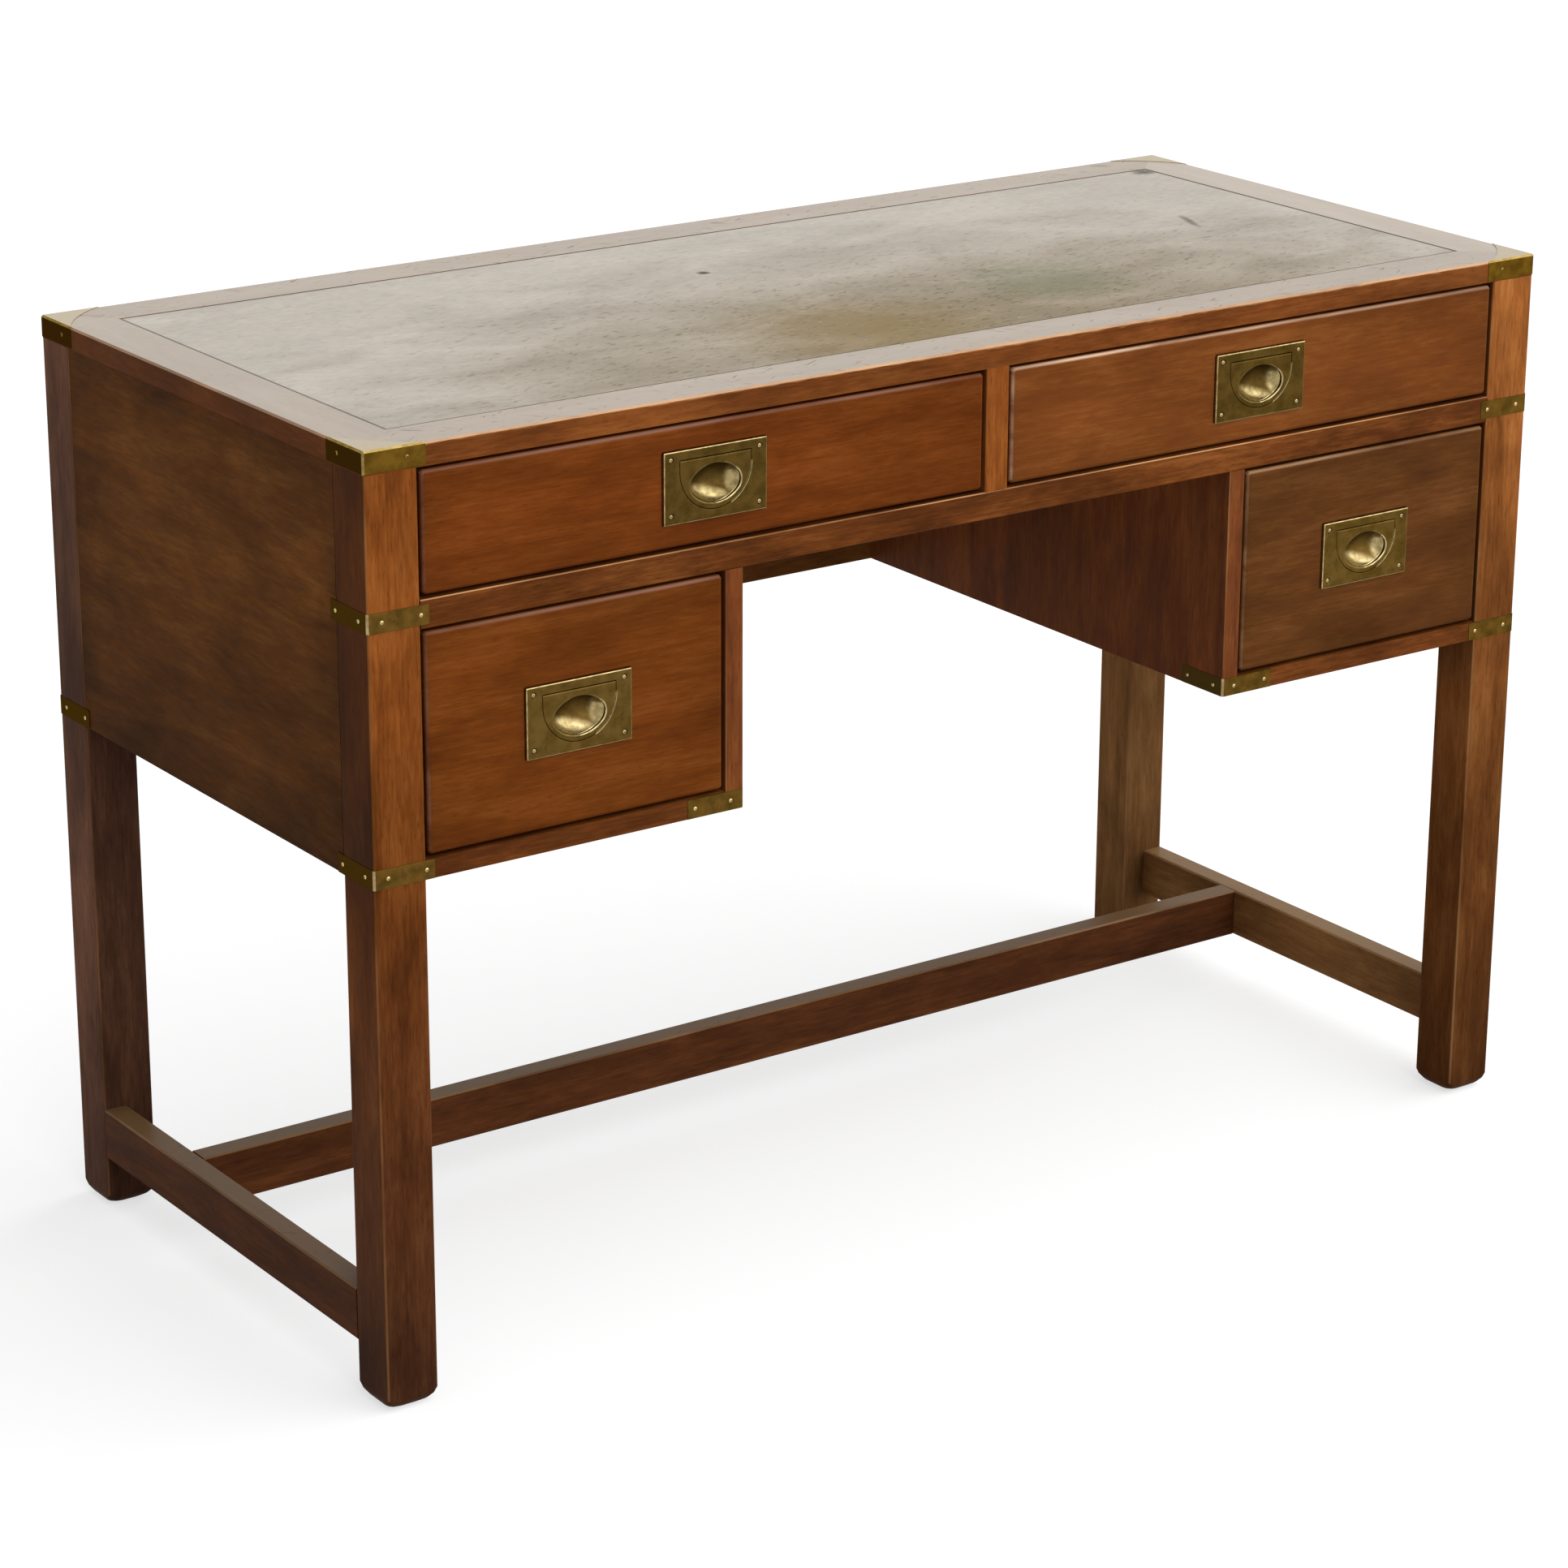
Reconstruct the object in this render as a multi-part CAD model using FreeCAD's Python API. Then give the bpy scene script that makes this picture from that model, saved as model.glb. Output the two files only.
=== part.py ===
import FreeCAD, Part
import math
import os

V = FreeCAD.Vector

# Overall size over the posts and the top, without the brass
desk_width = 1143.0
desk_depth = 508.0
desk_height = 762.0

# Top: a mitred frame round a panel that carries the leather
top_thickness = 18.0
top_border = 45.5
top_chamfer = 1.5
leather_thickness = 1.5
leather_recess = 0.2
leather_gap = 0.3

# Posts, which run from the floor to the top, with worn feet
post_size = 45.0
post_edge_radius = 2.5
foot_round = 12.0
foot_corner_radius = 9.0

# Case: the drawer openings and the boards round them
upper_opening = 99.6
lower_opening = 178.0
rail_height = 22.4
rail_depth = 45.0
rail_chamfer = 0.8
floor_thickness = 15.5
side_thickness = 16.0
back_thickness = 12.0
inner_thickness = 16.0
divider_thickness = 22.0
dust_board_thickness = 12.0
kneehole_width = 484.0
panel_recess = 0.5

# Glued joints in the case and the top
tenon_length = 20.0
tenon_thickness = 9.0
tenon_shoulder = 5.0
tongue_length = 8.0
tongue_thickness = 6.0
housing_depth = 6.0
tongue_stop = 15.0

# Stretchers between the legs
stretcher_height = 44.0
stretcher_thickness = 21.0
stretcher_lift = 46.0
stretcher_chamfer = 1.4
cross_stretcher_setback = 84.0
cross_tenon_length = 12.0

# Drawer boxes
drawer_gap = 2.8
drawer_run_clearance = 0.2
drawer_front_thickness = 20.0
drawer_front_chamfer = 2.2
drawer_side_thickness = 11.0
drawer_side_drop = 6.0
drawer_back_drop = 6.0
drawer_back_inset = 10.0
drawer_back_room = 12.0
drawer_bottom_thickness = 5.0
drawer_bottom_rise = 10.0
drawer_groove = 5.0
dovetail_length = 13.0
dovetail_pitch = 27.0
dovetail_slope = 6.0
dovetail_tip_share = 0.72

# Guides beside the drawers and stops behind their fronts
guide_height = 25.0
guide_clearance = 0.5
stop_width = 30.0
stop_depth = 12.0
stop_height = 6.0
stop_clearance = 0.2
stop_share = 0.3

# Drop handles: cast plate, dished bowl, hinged bail and screws
plate_width = 93.5
plate_height = 56.6
plate_thickness = 5.0
plate_proud = 2.5
plate_chamfer = 0.7
bail_width = 64.8
bail_straight = 8.9
bail_thickness = 3.0
bail_top_margin = 7.8
bail_gap = 0.4
bail_floor_gap = 0.3
grip_width = 46.0
grip_height = 30.6
grip_end_share = 0.65
grip_top_margin = 6.1
bowl_depth = 10.5
bowl_margin = 1.0
bowl_wall = 1.5
bowl_clearance = 0.5
trunnion_radius = 1.0
trunnion_length = 3.0
trunnion_clearance = 0.05
trunnion_end_clearance = 0.3
screw_margin = 6.5
screw_head_radius = 2.6
screw_shank_radius = 1.3
screw_length = 13.0
screw_point_radius = 0.4
screw_clearance = 0.1

# Brass corner caps and straps let into the wood, and their pins
brass_thickness = 1.2
brass_proud = 0.4
cap_arm = 52.0
cap_drop = 17.0
cap_scoop = 6.0
cap_pin_share = 0.7
strap_arm = 52.0
strap_bend = 1.6
pin_radius = 1.7
pin_crown_radius = 0.9
pin_height = 0.8
pin_end_margin = 7.0
pin_corner_margin = 12.0

# Sizes that follow from those above
half_width = desk_width / 2
half_depth = desk_depth / 2
front_y = -half_depth
top_under = desk_height - top_thickness
upper_floor = top_under - upper_opening
rail_under = upper_floor - rail_height
dust_under = upper_floor - dust_board_thickness
lower_floor = rail_under - lower_opening
case_bottom = lower_floor - floor_thickness
rail_back_y = front_y + rail_depth
post_inner_x = half_width - post_size
post_inner_y = half_depth - post_size
side_outer_x = half_width - panel_recess
side_inner_x = side_outer_x - side_thickness
back_outer_y = half_depth - panel_recess
back_inner_y = back_outer_y - back_thickness
knee_x = kneehole_width / 2
inner_outer_x = knee_x + inner_thickness
leg_inner_x = half_width - stretcher_thickness
stretcher_top = stretcher_lift + stretcher_height
panel_top = desk_height - leather_recess - leather_thickness
brass_inlay = brass_thickness - brass_proud
strap_height = floor_thickness

stud_sides = 6
corner_chords = 3
foot_rings = 4
bowl_rings = 4
bowl_chords = 20
touch = 1e-4
spare = 5.0


def block(xs, ys, zs):
    """Block between pairs of coordinates, each pair in either order."""
    pairs = (xs, ys, zs)
    low = V(*[min(pair) for pair in pairs])
    return Part.makeBox(*[max(pair) - min(pair) for pair in pairs], low)


def about(middle, width):
    """Pair of coordinates that lie evenly about a middle."""
    return middle - width / 2, middle + width / 2


def prism(points, push):
    """Straight-sided solid: a closed outline pushed along a vector."""
    outline = Part.makePolygon(points + points[:1])
    return Part.Face(outline).extrude(push)


def faceted(loops):
    """Solid through closed loops of points, with flat faces between each loop and the next."""
    facets = [loops[0], loops[-1]]
    for near_loop, far_loop in zip(loops, loops[1:]):
        for i in range(len(near_loop)):
            facets.append([near_loop[i - 1], near_loop[i], far_loop[i], far_loop[i - 1]])
    return Part.Solid(Part.Shell([Part.Face(Part.makePolygon(f + f[:1])) for f in facets]))


def stud(spot, out, rings):
    """Small faceted stud along the vector out, through rings given as radius and distance."""
    up = V(0, 0, 1)
    side = out.cross(up)
    turns = [2 * math.pi * (i + 0.5) / stud_sides for i in range(stud_sides)]
    loops = []
    for radius, distance in rings:
        middle = spot + out * distance
        loops.append([middle + (side * math.cos(t) + up * math.sin(t)) * radius for t in turns])
    return faceted(loops)


def edges_along(shape, axis, keep):
    """Straight edges along one axis whose middle point passes a test."""
    chosen = []
    for edge in shape.Edges:
        run = edge.Vertexes[-1].Point - edge.Vertexes[0].Point
        if abs(getattr(run, axis)) > edge.Length - touch and keep(edge.CenterOfMass):
            chosen.append(edge)
    return chosen


def near(a, b):
    return abs(a - b) < touch


def joined(shape, *others):
    """One solid of several that touch or overlap, without the seams."""
    for other in others:
        shape = shape.fuse(other)
    return shape.removeSplitter()


# Posts


def post_room(sx, sy):
    """Square space that a post takes up."""
    xs = (sx * post_inner_x, sx * half_width)
    ys = (sy * post_inner_y, sy * half_depth)
    return block(xs, ys, (0, top_under))


def rounded_square(middle, half, radius):
    """Loop of a level square about its middle, with its corners rounded by short chords."""
    loop = []
    for quarter in range(4):
        diagonal = math.pi / 2 * (quarter + 0.5)
        reach = (half - radius) * math.sqrt(2)
        for i in range(corner_chords + 1):
            turn = math.pi / 2 * (quarter + i / corner_chords)
            x = reach * math.cos(diagonal) + radius * math.cos(turn)
            y = reach * math.sin(diagonal) + radius * math.sin(turn)
            loop.append(middle + V(x, y, 0))
    return loop


def post(sx, sy):
    """Square post with rounded edges, its foot drawn in towards the floor and rounder at its corners."""
    half = post_size / 2
    middle = V(sx * (half_width - half), sy * (half_depth - half), 0)
    loops = [rounded_square(middle + V(0, 0, top_under), half, post_edge_radius)]
    for i in range(foot_rings + 1):
        turn = math.pi / 2 * i / foot_rings
        z, inset = foot_round * (1 - math.sin(turn)), foot_round * (1 - math.cos(turn))
        radius = post_edge_radius + (foot_corner_radius - post_edge_radius) * math.sin(turn)
        loops.append(rounded_square(middle + V(0, 0, z), half - inset, radius))
    return faceted(loops)


# Boards of the case


def drawer_rail():
    """Front rail between the upper and lower drawers, tenoned into the front posts."""
    rail = block((-post_inner_x, post_inner_x), (front_y, rail_back_y), (rail_under, upper_floor))
    arrises = edges_along(rail, "x", lambda p: near(p.y, front_y))
    rail = rail.makeChamfer(rail_chamfer, arrises)
    tenon_z = (rail_under + tenon_shoulder, upper_floor - tenon_shoulder)
    reach = post_inner_x + tenon_length
    tenon = block((-reach, reach), about(front_y + rail_depth / 2, tenon_thickness), tenon_z)
    return joined(rail, tenon)


def dust_board():
    """Board that carries the upper drawers, housed in the sides and tongued into the rail."""
    reach = side_inner_x + housing_depth
    board = block((-reach, reach), (rail_back_y, back_inner_y), (dust_under, upper_floor))
    tongue_z = about((dust_under + upper_floor) / 2, tongue_thickness)
    tongue = block((-post_inner_x, post_inner_x), (rail_back_y - tongue_length, rail_back_y), tongue_z)
    return joined(board, tongue).cut(post_rooms)


def side_panel(sx):
    """Side of the case, tongued into the posts before and behind it."""
    panel_x = (sx * side_inner_x, sx * side_outer_x)
    panel = block(panel_x, (-post_inner_y, post_inner_y), (case_bottom, top_under))
    tongue_x = about(sx * (side_inner_x + side_thickness / 2), tongue_thickness)
    reach = post_inner_y + tongue_length
    return joined(panel, block(tongue_x, (-reach, reach), (case_bottom, top_under)))


def back_panel():
    """Back of the case, tongued into the back posts."""
    panel = block((-post_inner_x, post_inner_x), (back_inner_y, back_outer_y), (case_bottom, top_under))
    tongue_y = about((back_inner_y + back_outer_y) / 2, tongue_thickness)
    reach = post_inner_x + tongue_length
    return joined(panel, block((-reach, reach), tongue_y, (case_bottom, top_under)))


def inner_panel(sx):
    """Kneehole side of a pedestal, notched at its upper front corner round the rail."""
    x = sx * knee_x
    outline = [
        V(x, front_y, case_bottom),
        V(x, back_inner_y, case_bottom),
        V(x, back_inner_y, dust_under),
        V(x, rail_back_y, dust_under),
        V(x, rail_back_y, rail_under),
        V(x, front_y, rail_under),
    ]
    panel = prism(outline, V(sx * inner_thickness, 0, 0))
    return panel.makeChamfer(rail_chamfer, edges_along(panel, "z", lambda p: near(p.y, front_y)))


def pedestal_floor(sx):
    """Floor of a pedestal, notched round the posts and tongued into the boards beside it."""
    floor_z = (case_bottom, lower_floor)
    floor = block((sx * inner_outer_x, sx * side_inner_x), (front_y, back_inner_y), floor_z).cut(post_rooms)
    tongue_z = about((case_bottom + lower_floor) / 2, tongue_thickness)
    outer_x = (sx * side_inner_x, sx * (side_inner_x + housing_depth))
    outer = block(outer_x, (-post_inner_y, post_inner_y), tongue_z)
    inner_y = (front_y + tongue_stop, back_inner_y - tongue_stop)
    inner = block((sx * inner_outer_x, sx * (inner_outer_x - housing_depth)), inner_y, tongue_z)
    return joined(floor, outer, inner)


def centre_divider():
    """Upright board between the upper drawers, standing on the rail and the dust board."""
    half = divider_thickness / 2
    board = block((-half, half), (front_y, back_inner_y), (upper_floor, top_under))
    return board.makeChamfer(rail_chamfer, edges_along(board, "z", lambda p: near(p.y, front_y)))


# Stretchers


def softened(bar, axis):
    """Bar with all its long edges taken off."""
    return bar.makeChamfer(stretcher_chamfer, edges_along(bar, axis, lambda p: True))


def side_stretcher(sx):
    """Stretcher between a front and a back leg, flush with their outer faces."""
    bar_z = (stretcher_lift, stretcher_top)
    bar = block((sx * leg_inner_x, sx * half_width), (-post_inner_y, post_inner_y), bar_z)
    tenon_x = about(sx * (leg_inner_x + stretcher_thickness / 2), tenon_thickness)
    reach = post_inner_y + tenon_length
    tenon_z = (stretcher_lift + tenon_shoulder, stretcher_top - tenon_shoulder)
    return joined(softened(bar, "y"), block(tenon_x, (-reach, reach), tenon_z))


def cross_stretcher():
    """Long stretcher between the side stretchers, behind the middle of the desk."""
    bar_y = about(cross_stretcher_setback, stretcher_thickness)
    bar = block((-leg_inner_x, leg_inner_x), bar_y, (stretcher_lift, stretcher_top))
    reach = leg_inner_x + cross_tenon_length
    tenon_z = (stretcher_lift + tenon_shoulder, stretcher_top - tenon_shoulder)
    tenon = block((-reach, reach), about(cross_stretcher_setback, tenon_thickness), tenon_z)
    return joined(softened(bar, "x"), tenon)


# Top


def top_slab():
    """The top as one slab with its upper edges and its corners taken off."""
    slab = block((-half_width, half_width), (-half_depth, half_depth), (top_under, desk_height))
    upright = edges_along(slab, "z", lambda p: True)
    upper = [e for axis in ("x", "y") for e in edges_along(slab, axis, lambda p: near(p.z, desk_height))]
    return slab.makeChamfer(top_chamfer, upright + upper)


def top_rail(axis, sign):
    """One mitred rail of the top's frame, along the x or the y axis."""
    outer_x, outer_y = half_width, sign * half_depth
    inner_x, inner_y = half_width - top_border, sign * (half_depth - top_border)
    if axis == "y":
        outer_x, outer_y = sign * half_width, half_depth
        inner_x, inner_y = sign * (half_width - top_border), half_depth - top_border
    far_x, far_y = (-1, 1) if axis == "x" else (1, -1)
    outline = [
        V(outer_x, outer_y, top_under),
        V(far_x * outer_x, far_y * outer_y, top_under),
        V(far_x * inner_x, far_y * inner_y, top_under),
        V(inner_x, inner_y, top_under),
    ]
    return top_slab().common(prism(outline, V(0, 0, top_thickness)))


def top_panel():
    """Panel under the leather, tongued into the frame all round."""
    inner_x, inner_y = half_width - top_border, half_depth - top_border
    panel = block((-inner_x, inner_x), (-inner_y, inner_y), (top_under, panel_top))
    reach_x, reach_y = inner_x + tongue_length, inner_y + tongue_length
    tongue_z = about((top_under + panel_top) / 2, tongue_thickness)
    return joined(panel, block((-reach_x, reach_x), (-reach_y, reach_y), tongue_z))


def leather_inset():
    """Leather writing surface, let in just below the frame round it."""
    reach_x = half_width - top_border - leather_gap
    reach_y = half_depth - top_border - leather_gap
    return block((-reach_x, reach_x), (-reach_y, reach_y), (panel_top, desk_height - leather_recess))


# Guides and stops


def drawer_guide(sx, floor_z):
    """Strip behind a post that keeps a drawer's outer side in line."""
    xs = (sx * (post_inner_x - drawer_gap + guide_clearance), sx * side_inner_x)
    return block(xs, (-post_inner_y, post_inner_y), (floor_z, floor_z + guide_height))


def drawer_stops(x_low, x_high, floor_z):
    """Two small blocks behind a drawer front that stop it flush."""
    middle, width = (x_low + x_high) / 2, x_high - x_low
    stop_y = front_y + drawer_front_thickness + stop_clearance
    stops = []
    for side in (-1, 1):
        xs = about(middle + side * stop_share * width, stop_width)
        stops.append(block(xs, (stop_y, stop_y + stop_depth), (floor_z, floor_z + stop_height)))
    return stops


# Brass on the corners


def pin(spot, out):
    """Raised pin head on a brass face that looks along the vector out."""
    return stud(spot, out, [(pin_radius, 0), (pin_crown_radius, pin_height)])


def corner_pins(corner, dx, dy, z, distances):
    """Pins on both arms of a corner brass, at given distances from its corner."""
    pins = []
    for distance in distances:
        on_front = V(corner.x + dx * distance, corner.y - dy * brass_proud, z)
        on_side = V(corner.x - dx * brass_proud, corner.y + dy * distance, z)
        pins += [pin(on_front, V(0, -dy, 0)), pin(on_side, V(-dx, 0, 0))]
    return pins


def strap(corner, dx, dy):
    """Brass strap bent round an upright edge; its arms run along dx and dy."""

    def at(u, v):
        return V(corner.x + dx * u, corner.y + dy * v, corner.z)

    outline = [
        at(-brass_proud, -brass_proud),
        at(strap_arm, -brass_proud),
        at(strap_arm, brass_inlay),
        at(brass_inlay, brass_inlay),
        at(brass_inlay, strap_arm),
        at(-brass_proud, strap_arm),
    ]
    bent = prism(outline, V(0, 0, strap_height))
    bend = edges_along(bent, "z", lambda p: near(p.x, outline[0].x) and near(p.y, outline[0].y))
    return bent.makeChamfer(strap_bend, bend)


def corner_cap(sx, sy):
    """Three-way brass cap on a corner of the top, its upper flange scooped towards the corner."""
    out_x, out_y = sx * (half_width + brass_proud), sy * (half_depth + brass_proud)
    end_x, end_y = sx * (half_width - cap_arm), sy * (half_depth - cap_arm)
    top_z = desk_height + brass_proud
    shell = block((out_x, end_x), (out_y, end_y), (desk_height - cap_drop, top_z))
    outer = edges_along(shell, "z", lambda p: near(p.x, out_x) and near(p.y, out_y))
    outer += edges_along(shell, "x", lambda p: near(p.y, out_y) and near(p.z, top_z))
    outer += edges_along(shell, "y", lambda p: near(p.x, out_x) and near(p.z, top_z))
    shell = shell.makeChamfer(top_chamfer, outer)
    seat_x = (sx * (half_width - brass_inlay), end_x - sx * spare)
    seat_y = (sy * (half_depth - brass_inlay), end_y - sy * spare)
    shell = shell.cut(block(seat_x, seat_y, (desk_height - cap_drop - spare, desk_height - brass_inlay)))
    chord = cap_arm * math.sqrt(2)
    radius = (chord ** 2 / 4 + cap_scoop ** 2) / (2 * cap_scoop)
    away = cap_arm / 2 + (radius - cap_scoop) / math.sqrt(2)
    centre = V(sx * (half_width - away), sy * (half_depth - away), desk_height - brass_inlay)
    return shell.cut(Part.makeCylinder(radius, brass_thickness + spare, centre))


# Drop handles


def bail_outline(hx, top_z, low_z, y, gap):
    """Face of the bail: level top, straight shoulders and a half-round bottom, grown by a gap."""
    half = bail_width / 2 + gap
    high_z = top_z + gap
    corners = [V(hx + s * half, y, z) for s, z in ((-1, low_z), (-1, high_z), (1, high_z), (1, low_z))]
    edges = [Part.makeLine(a, b) for a, b in zip(corners, corners[1:])]
    edges.append(Part.Arc(corners[3], V(hx, y, low_z - half), corners[0]).toShape())
    return Part.Face(Part.Wire(edges))


def grip_opening(hx, hz, y):
    """Face of the grip's opening: an oval of two end arcs and two flatter arcs between them."""
    a, b = grip_width / 2, grip_height / 2
    end_radius = b * grip_end_share
    flat_radius = ((a - end_radius) ** 2 + b ** 2 - end_radius ** 2) / (2 * (b - end_radius))
    turn = end_radius / (flat_radius - end_radius)
    meet_x, meet_z = (a - end_radius) * (1 + turn), (flat_radius - b) * turn
    quarter = [V(-meet_x, 0, meet_z), V(0, 0, b), V(meet_x, 0, meet_z), V(a, 0, 0)]
    points = [V(hx, y, hz) + p for p in quarter] + [V(hx, y, hz) - p for p in quarter]
    edges = [Part.Arc(*[points[(i + step) % 8] for step in range(3)]).toShape() for i in range(0, 8, 2)]
    return Part.Face(Part.Wire(edges))


def bowl_hollow(hx, y, z):
    """Hollow of the bowl: ovals that draw in from its mouth, and a straight neck in front of the mouth."""
    mouth_x, mouth_z = grip_width / 2 + bowl_margin, grip_height / 2 + bowl_margin
    rings = [(1, -bail_floor_gap)]
    for i in range(bowl_rings):
        turn = math.pi / 2 * i / bowl_rings
        rings.append((math.cos(turn), bowl_depth * math.sin(turn)))
    turns = [2 * math.pi * i / bowl_chords for i in range(bowl_chords)]
    loops = []
    for share, depth in rings:
        middle = V(hx, y + depth, z)
        loops.append([middle + V(mouth_x * math.cos(t), 0, mouth_z * math.sin(t)) * share for t in turns])
    return faceted(loops)


def screw_body(spot, grow):
    """Countersunk screw along +y with its head's face at the spot, grown by a clearance."""
    head, shank = screw_head_radius + grow, screw_shank_radius + grow
    rings = [(head, 0), (shank, head - shank), (screw_point_radius + grow, screw_length + grow)]
    return stud(spot, V(0, 1, 0), rings)


def along_x(middle, radius, reach):
    """Round bar along x, reaching equally far both ways from its middle."""
    return Part.makeCylinder(radius, 2 * reach, middle - V(reach, 0, 0), V(1, 0, 0))


def handle(hx, hz):
    """Plate, bail and screws of one handle, and the room that they need in the drawer front."""
    face_y = front_y - plate_proud
    back_y = face_y + plate_thickness
    pocket_y = face_y + bail_thickness + bail_floor_gap
    bail_top = hz + plate_height / 2 - bail_top_margin
    bail_low = bail_top - bail_straight
    hinge = V(hx, face_y + bail_thickness / 2, bail_top - bail_thickness / 2)
    grip_z = bail_top - grip_top_margin - grip_height / 2

    # Bail: a D-shaped ring whose upper edge is round about its hinge line, with a trunnion at each end
    ring = bail_outline(hx, hinge.z, bail_low, face_y, 0).extrude(V(0, bail_thickness, 0))
    ring = ring.cut(grip_opening(hx, grip_z, face_y).extrude(V(0, bail_thickness, 0)))
    trunnion_reach = bail_width / 2 + trunnion_length
    trunnions = along_x(hinge, trunnion_radius, trunnion_reach)
    bail = joined(ring, along_x(hinge, bail_thickness / 2, bail_width / 2), trunnions)

    # Plate: a pocket for the bail, and behind it a bowl in a cup, its mouth a little wider than the grip
    plate_x, plate_z = about(hx, plate_width), about(hz, plate_height)
    seat = block(plate_x, (face_y, back_y), plate_z)
    rims = [e for axis in ("x", "z") for e in edges_along(seat, axis, lambda p: near(p.y, face_y))]
    cup_end = pocket_y + bowl_depth + bowl_wall
    cup_x, cup_z = grip_width + 2 * (bowl_margin + bowl_wall), grip_height + 2 * (bowl_margin + bowl_wall)
    cup = block(about(hx, cup_x), (pocket_y, cup_end), about(grip_z, cup_z))
    pocket = bail_outline(hx, bail_top, bail_low, face_y - spare, bail_gap)
    pocket = pocket.extrude(V(0, pocket_y - face_y + spare, 0))
    sockets = along_x(hinge, trunnion_radius + trunnion_clearance, trunnion_reach + trunnion_end_clearance)
    hollows = [pocket, bowl_hollow(hx, pocket_y, grip_z), sockets]
    plate = joined(seat.makeChamfer(plate_chamfer, rims), cup).cut(hollows)

    # Screws in the plate's corners
    spots = []
    for sx in (-1, 1):
        for sz in (-1, 1):
            x = hx + sx * (plate_width / 2 - screw_margin)
            spots.append(V(x, face_y, hz + sz * (plate_height / 2 - screw_margin)))
    screws = Part.makeCompound([screw_body(spot, 0) for spot in spots])
    holes = [screw_body(spot, screw_clearance) for spot in spots]

    # Room in the drawer front: the plate's seat, the well round the cup and the screws' holes
    well_x, well_z = about(hx, cup_x + 2 * bowl_clearance), about(grip_z, cup_z + 2 * bowl_clearance)
    well = block(well_x, (face_y, cup_end + bowl_clearance), well_z)
    return plate.cut(holes), bail, screws, [seat, well] + holes


# Drawers


def dovetails(xs, back_y, z_low, z_high):
    """Row of tails on a drawer side's front end, flaring towards their tips."""
    count = max(2, round((z_high - z_low) / dovetail_pitch))
    pitch = (z_high - z_low) / count
    tip = pitch * dovetail_tip_share / 2
    root = tip - dovetail_length / dovetail_slope
    tails = []
    for i in range(count):
        z = z_low + pitch * (i + 0.5)
        outline = [
            V(xs[0], back_y, z - root),
            V(xs[0], back_y - dovetail_length, z - tip),
            V(xs[0], back_y - dovetail_length, z + tip),
            V(xs[0], back_y, z + root),
        ]
        tails.append(prism(outline, V(xs[1] - xs[0], 0, 0)))
    return tails


def drawer(name, x_low, x_high, z_low, z_high):
    """Pieces of the drawer that fills an opening, by their full names."""
    x0, x1 = x_low + drawer_gap, x_high - drawer_gap
    z0, z1 = z_low + drawer_gap, z_high - drawer_gap
    front_back_y = front_y + drawer_front_thickness
    end_y = back_inner_y - drawer_back_room
    side_z = (z_low + drawer_run_clearance, z1 - drawer_side_drop)
    bottom_z = z_low + drawer_bottom_rise
    inner_x = (x0 + drawer_side_thickness - drawer_groove, x1 - drawer_side_thickness + drawer_groove)

    bottom_y = (front_back_y - drawer_groove, end_y - drawer_back_inset)
    bottom = block(inner_x, bottom_y, (bottom_z, bottom_z + drawer_bottom_thickness))
    back_y = (end_y - drawer_back_inset - drawer_side_thickness, end_y - drawer_back_inset)
    back_z = (bottom_z + drawer_bottom_thickness, side_z[1] - drawer_back_drop)
    back = block(inner_x, back_y, back_z)

    sides = []
    for xs in ((x0, x0 + drawer_side_thickness), (x1 - drawer_side_thickness, x1)):
        board = block(xs, (front_back_y, end_y), side_z)
        tails = dovetails(xs, front_back_y, z0, side_z[1])
        sides.append(joined(board, *tails).cut([bottom, back]))

    front = block((x0, x1), (front_y, front_back_y), (z0, z1))
    rims = [e for axis in ("x", "z") for e in edges_along(front, axis, lambda p: near(p.y, front_y))]
    rims += edges_along(front, "y", lambda p: True)
    plate, bail, screws, room = handle((x0 + x1) / 2, (z0 + z1) / 2)
    front = front.makeChamfer(drawer_front_chamfer, rims).cut(sides + [bottom] + room)
    return {
        f"{name}_drawer_front": front,
        f"{name}_drawer_left_side": sides[0],
        f"{name}_drawer_right_side": sides[1],
        f"{name}_drawer_back": back,
        f"{name}_drawer_bottom": bottom,
        f"{name}_handle_plate": plate,
        f"{name}_handle_bail": bail,
        f"{name}_handle_screws": screws,
    }


# Assembly: wood first, then the brass let into it, then the drawers

corners = {"front_left": (-1, -1), "front_right": (1, -1), "back_left": (-1, 1), "back_right": (1, 1)}
hands = {"left": -1, "right": 1}
post_rooms = [post_room(sx, sy) for sx, sy in corners.values()]

wood = {f"post_{name}": post(sx, sy) for name, (sx, sy) in corners.items()}
wood["drawer_rail"] = drawer_rail()
wood["dust_board"] = dust_board()
wood["back_panel"] = back_panel()
wood["centre_divider"] = centre_divider()
wood["cross_stretcher"] = cross_stretcher()
wood["top_panel"] = top_panel()
for name, side in hands.items():
    wood[f"side_panel_{name}"] = side_panel(side)
    wood[f"inner_panel_{name}"] = inner_panel(side)
    wood[f"pedestal_floor_{name}"] = pedestal_floor(side)
    wood[f"side_stretcher_{name}"] = side_stretcher(side)
    wood[f"top_rail_{name}"] = top_rail("y", side)
wood["top_rail_front"] = top_rail("x", -1)
wood["top_rail_back"] = top_rail("x", 1)

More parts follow.
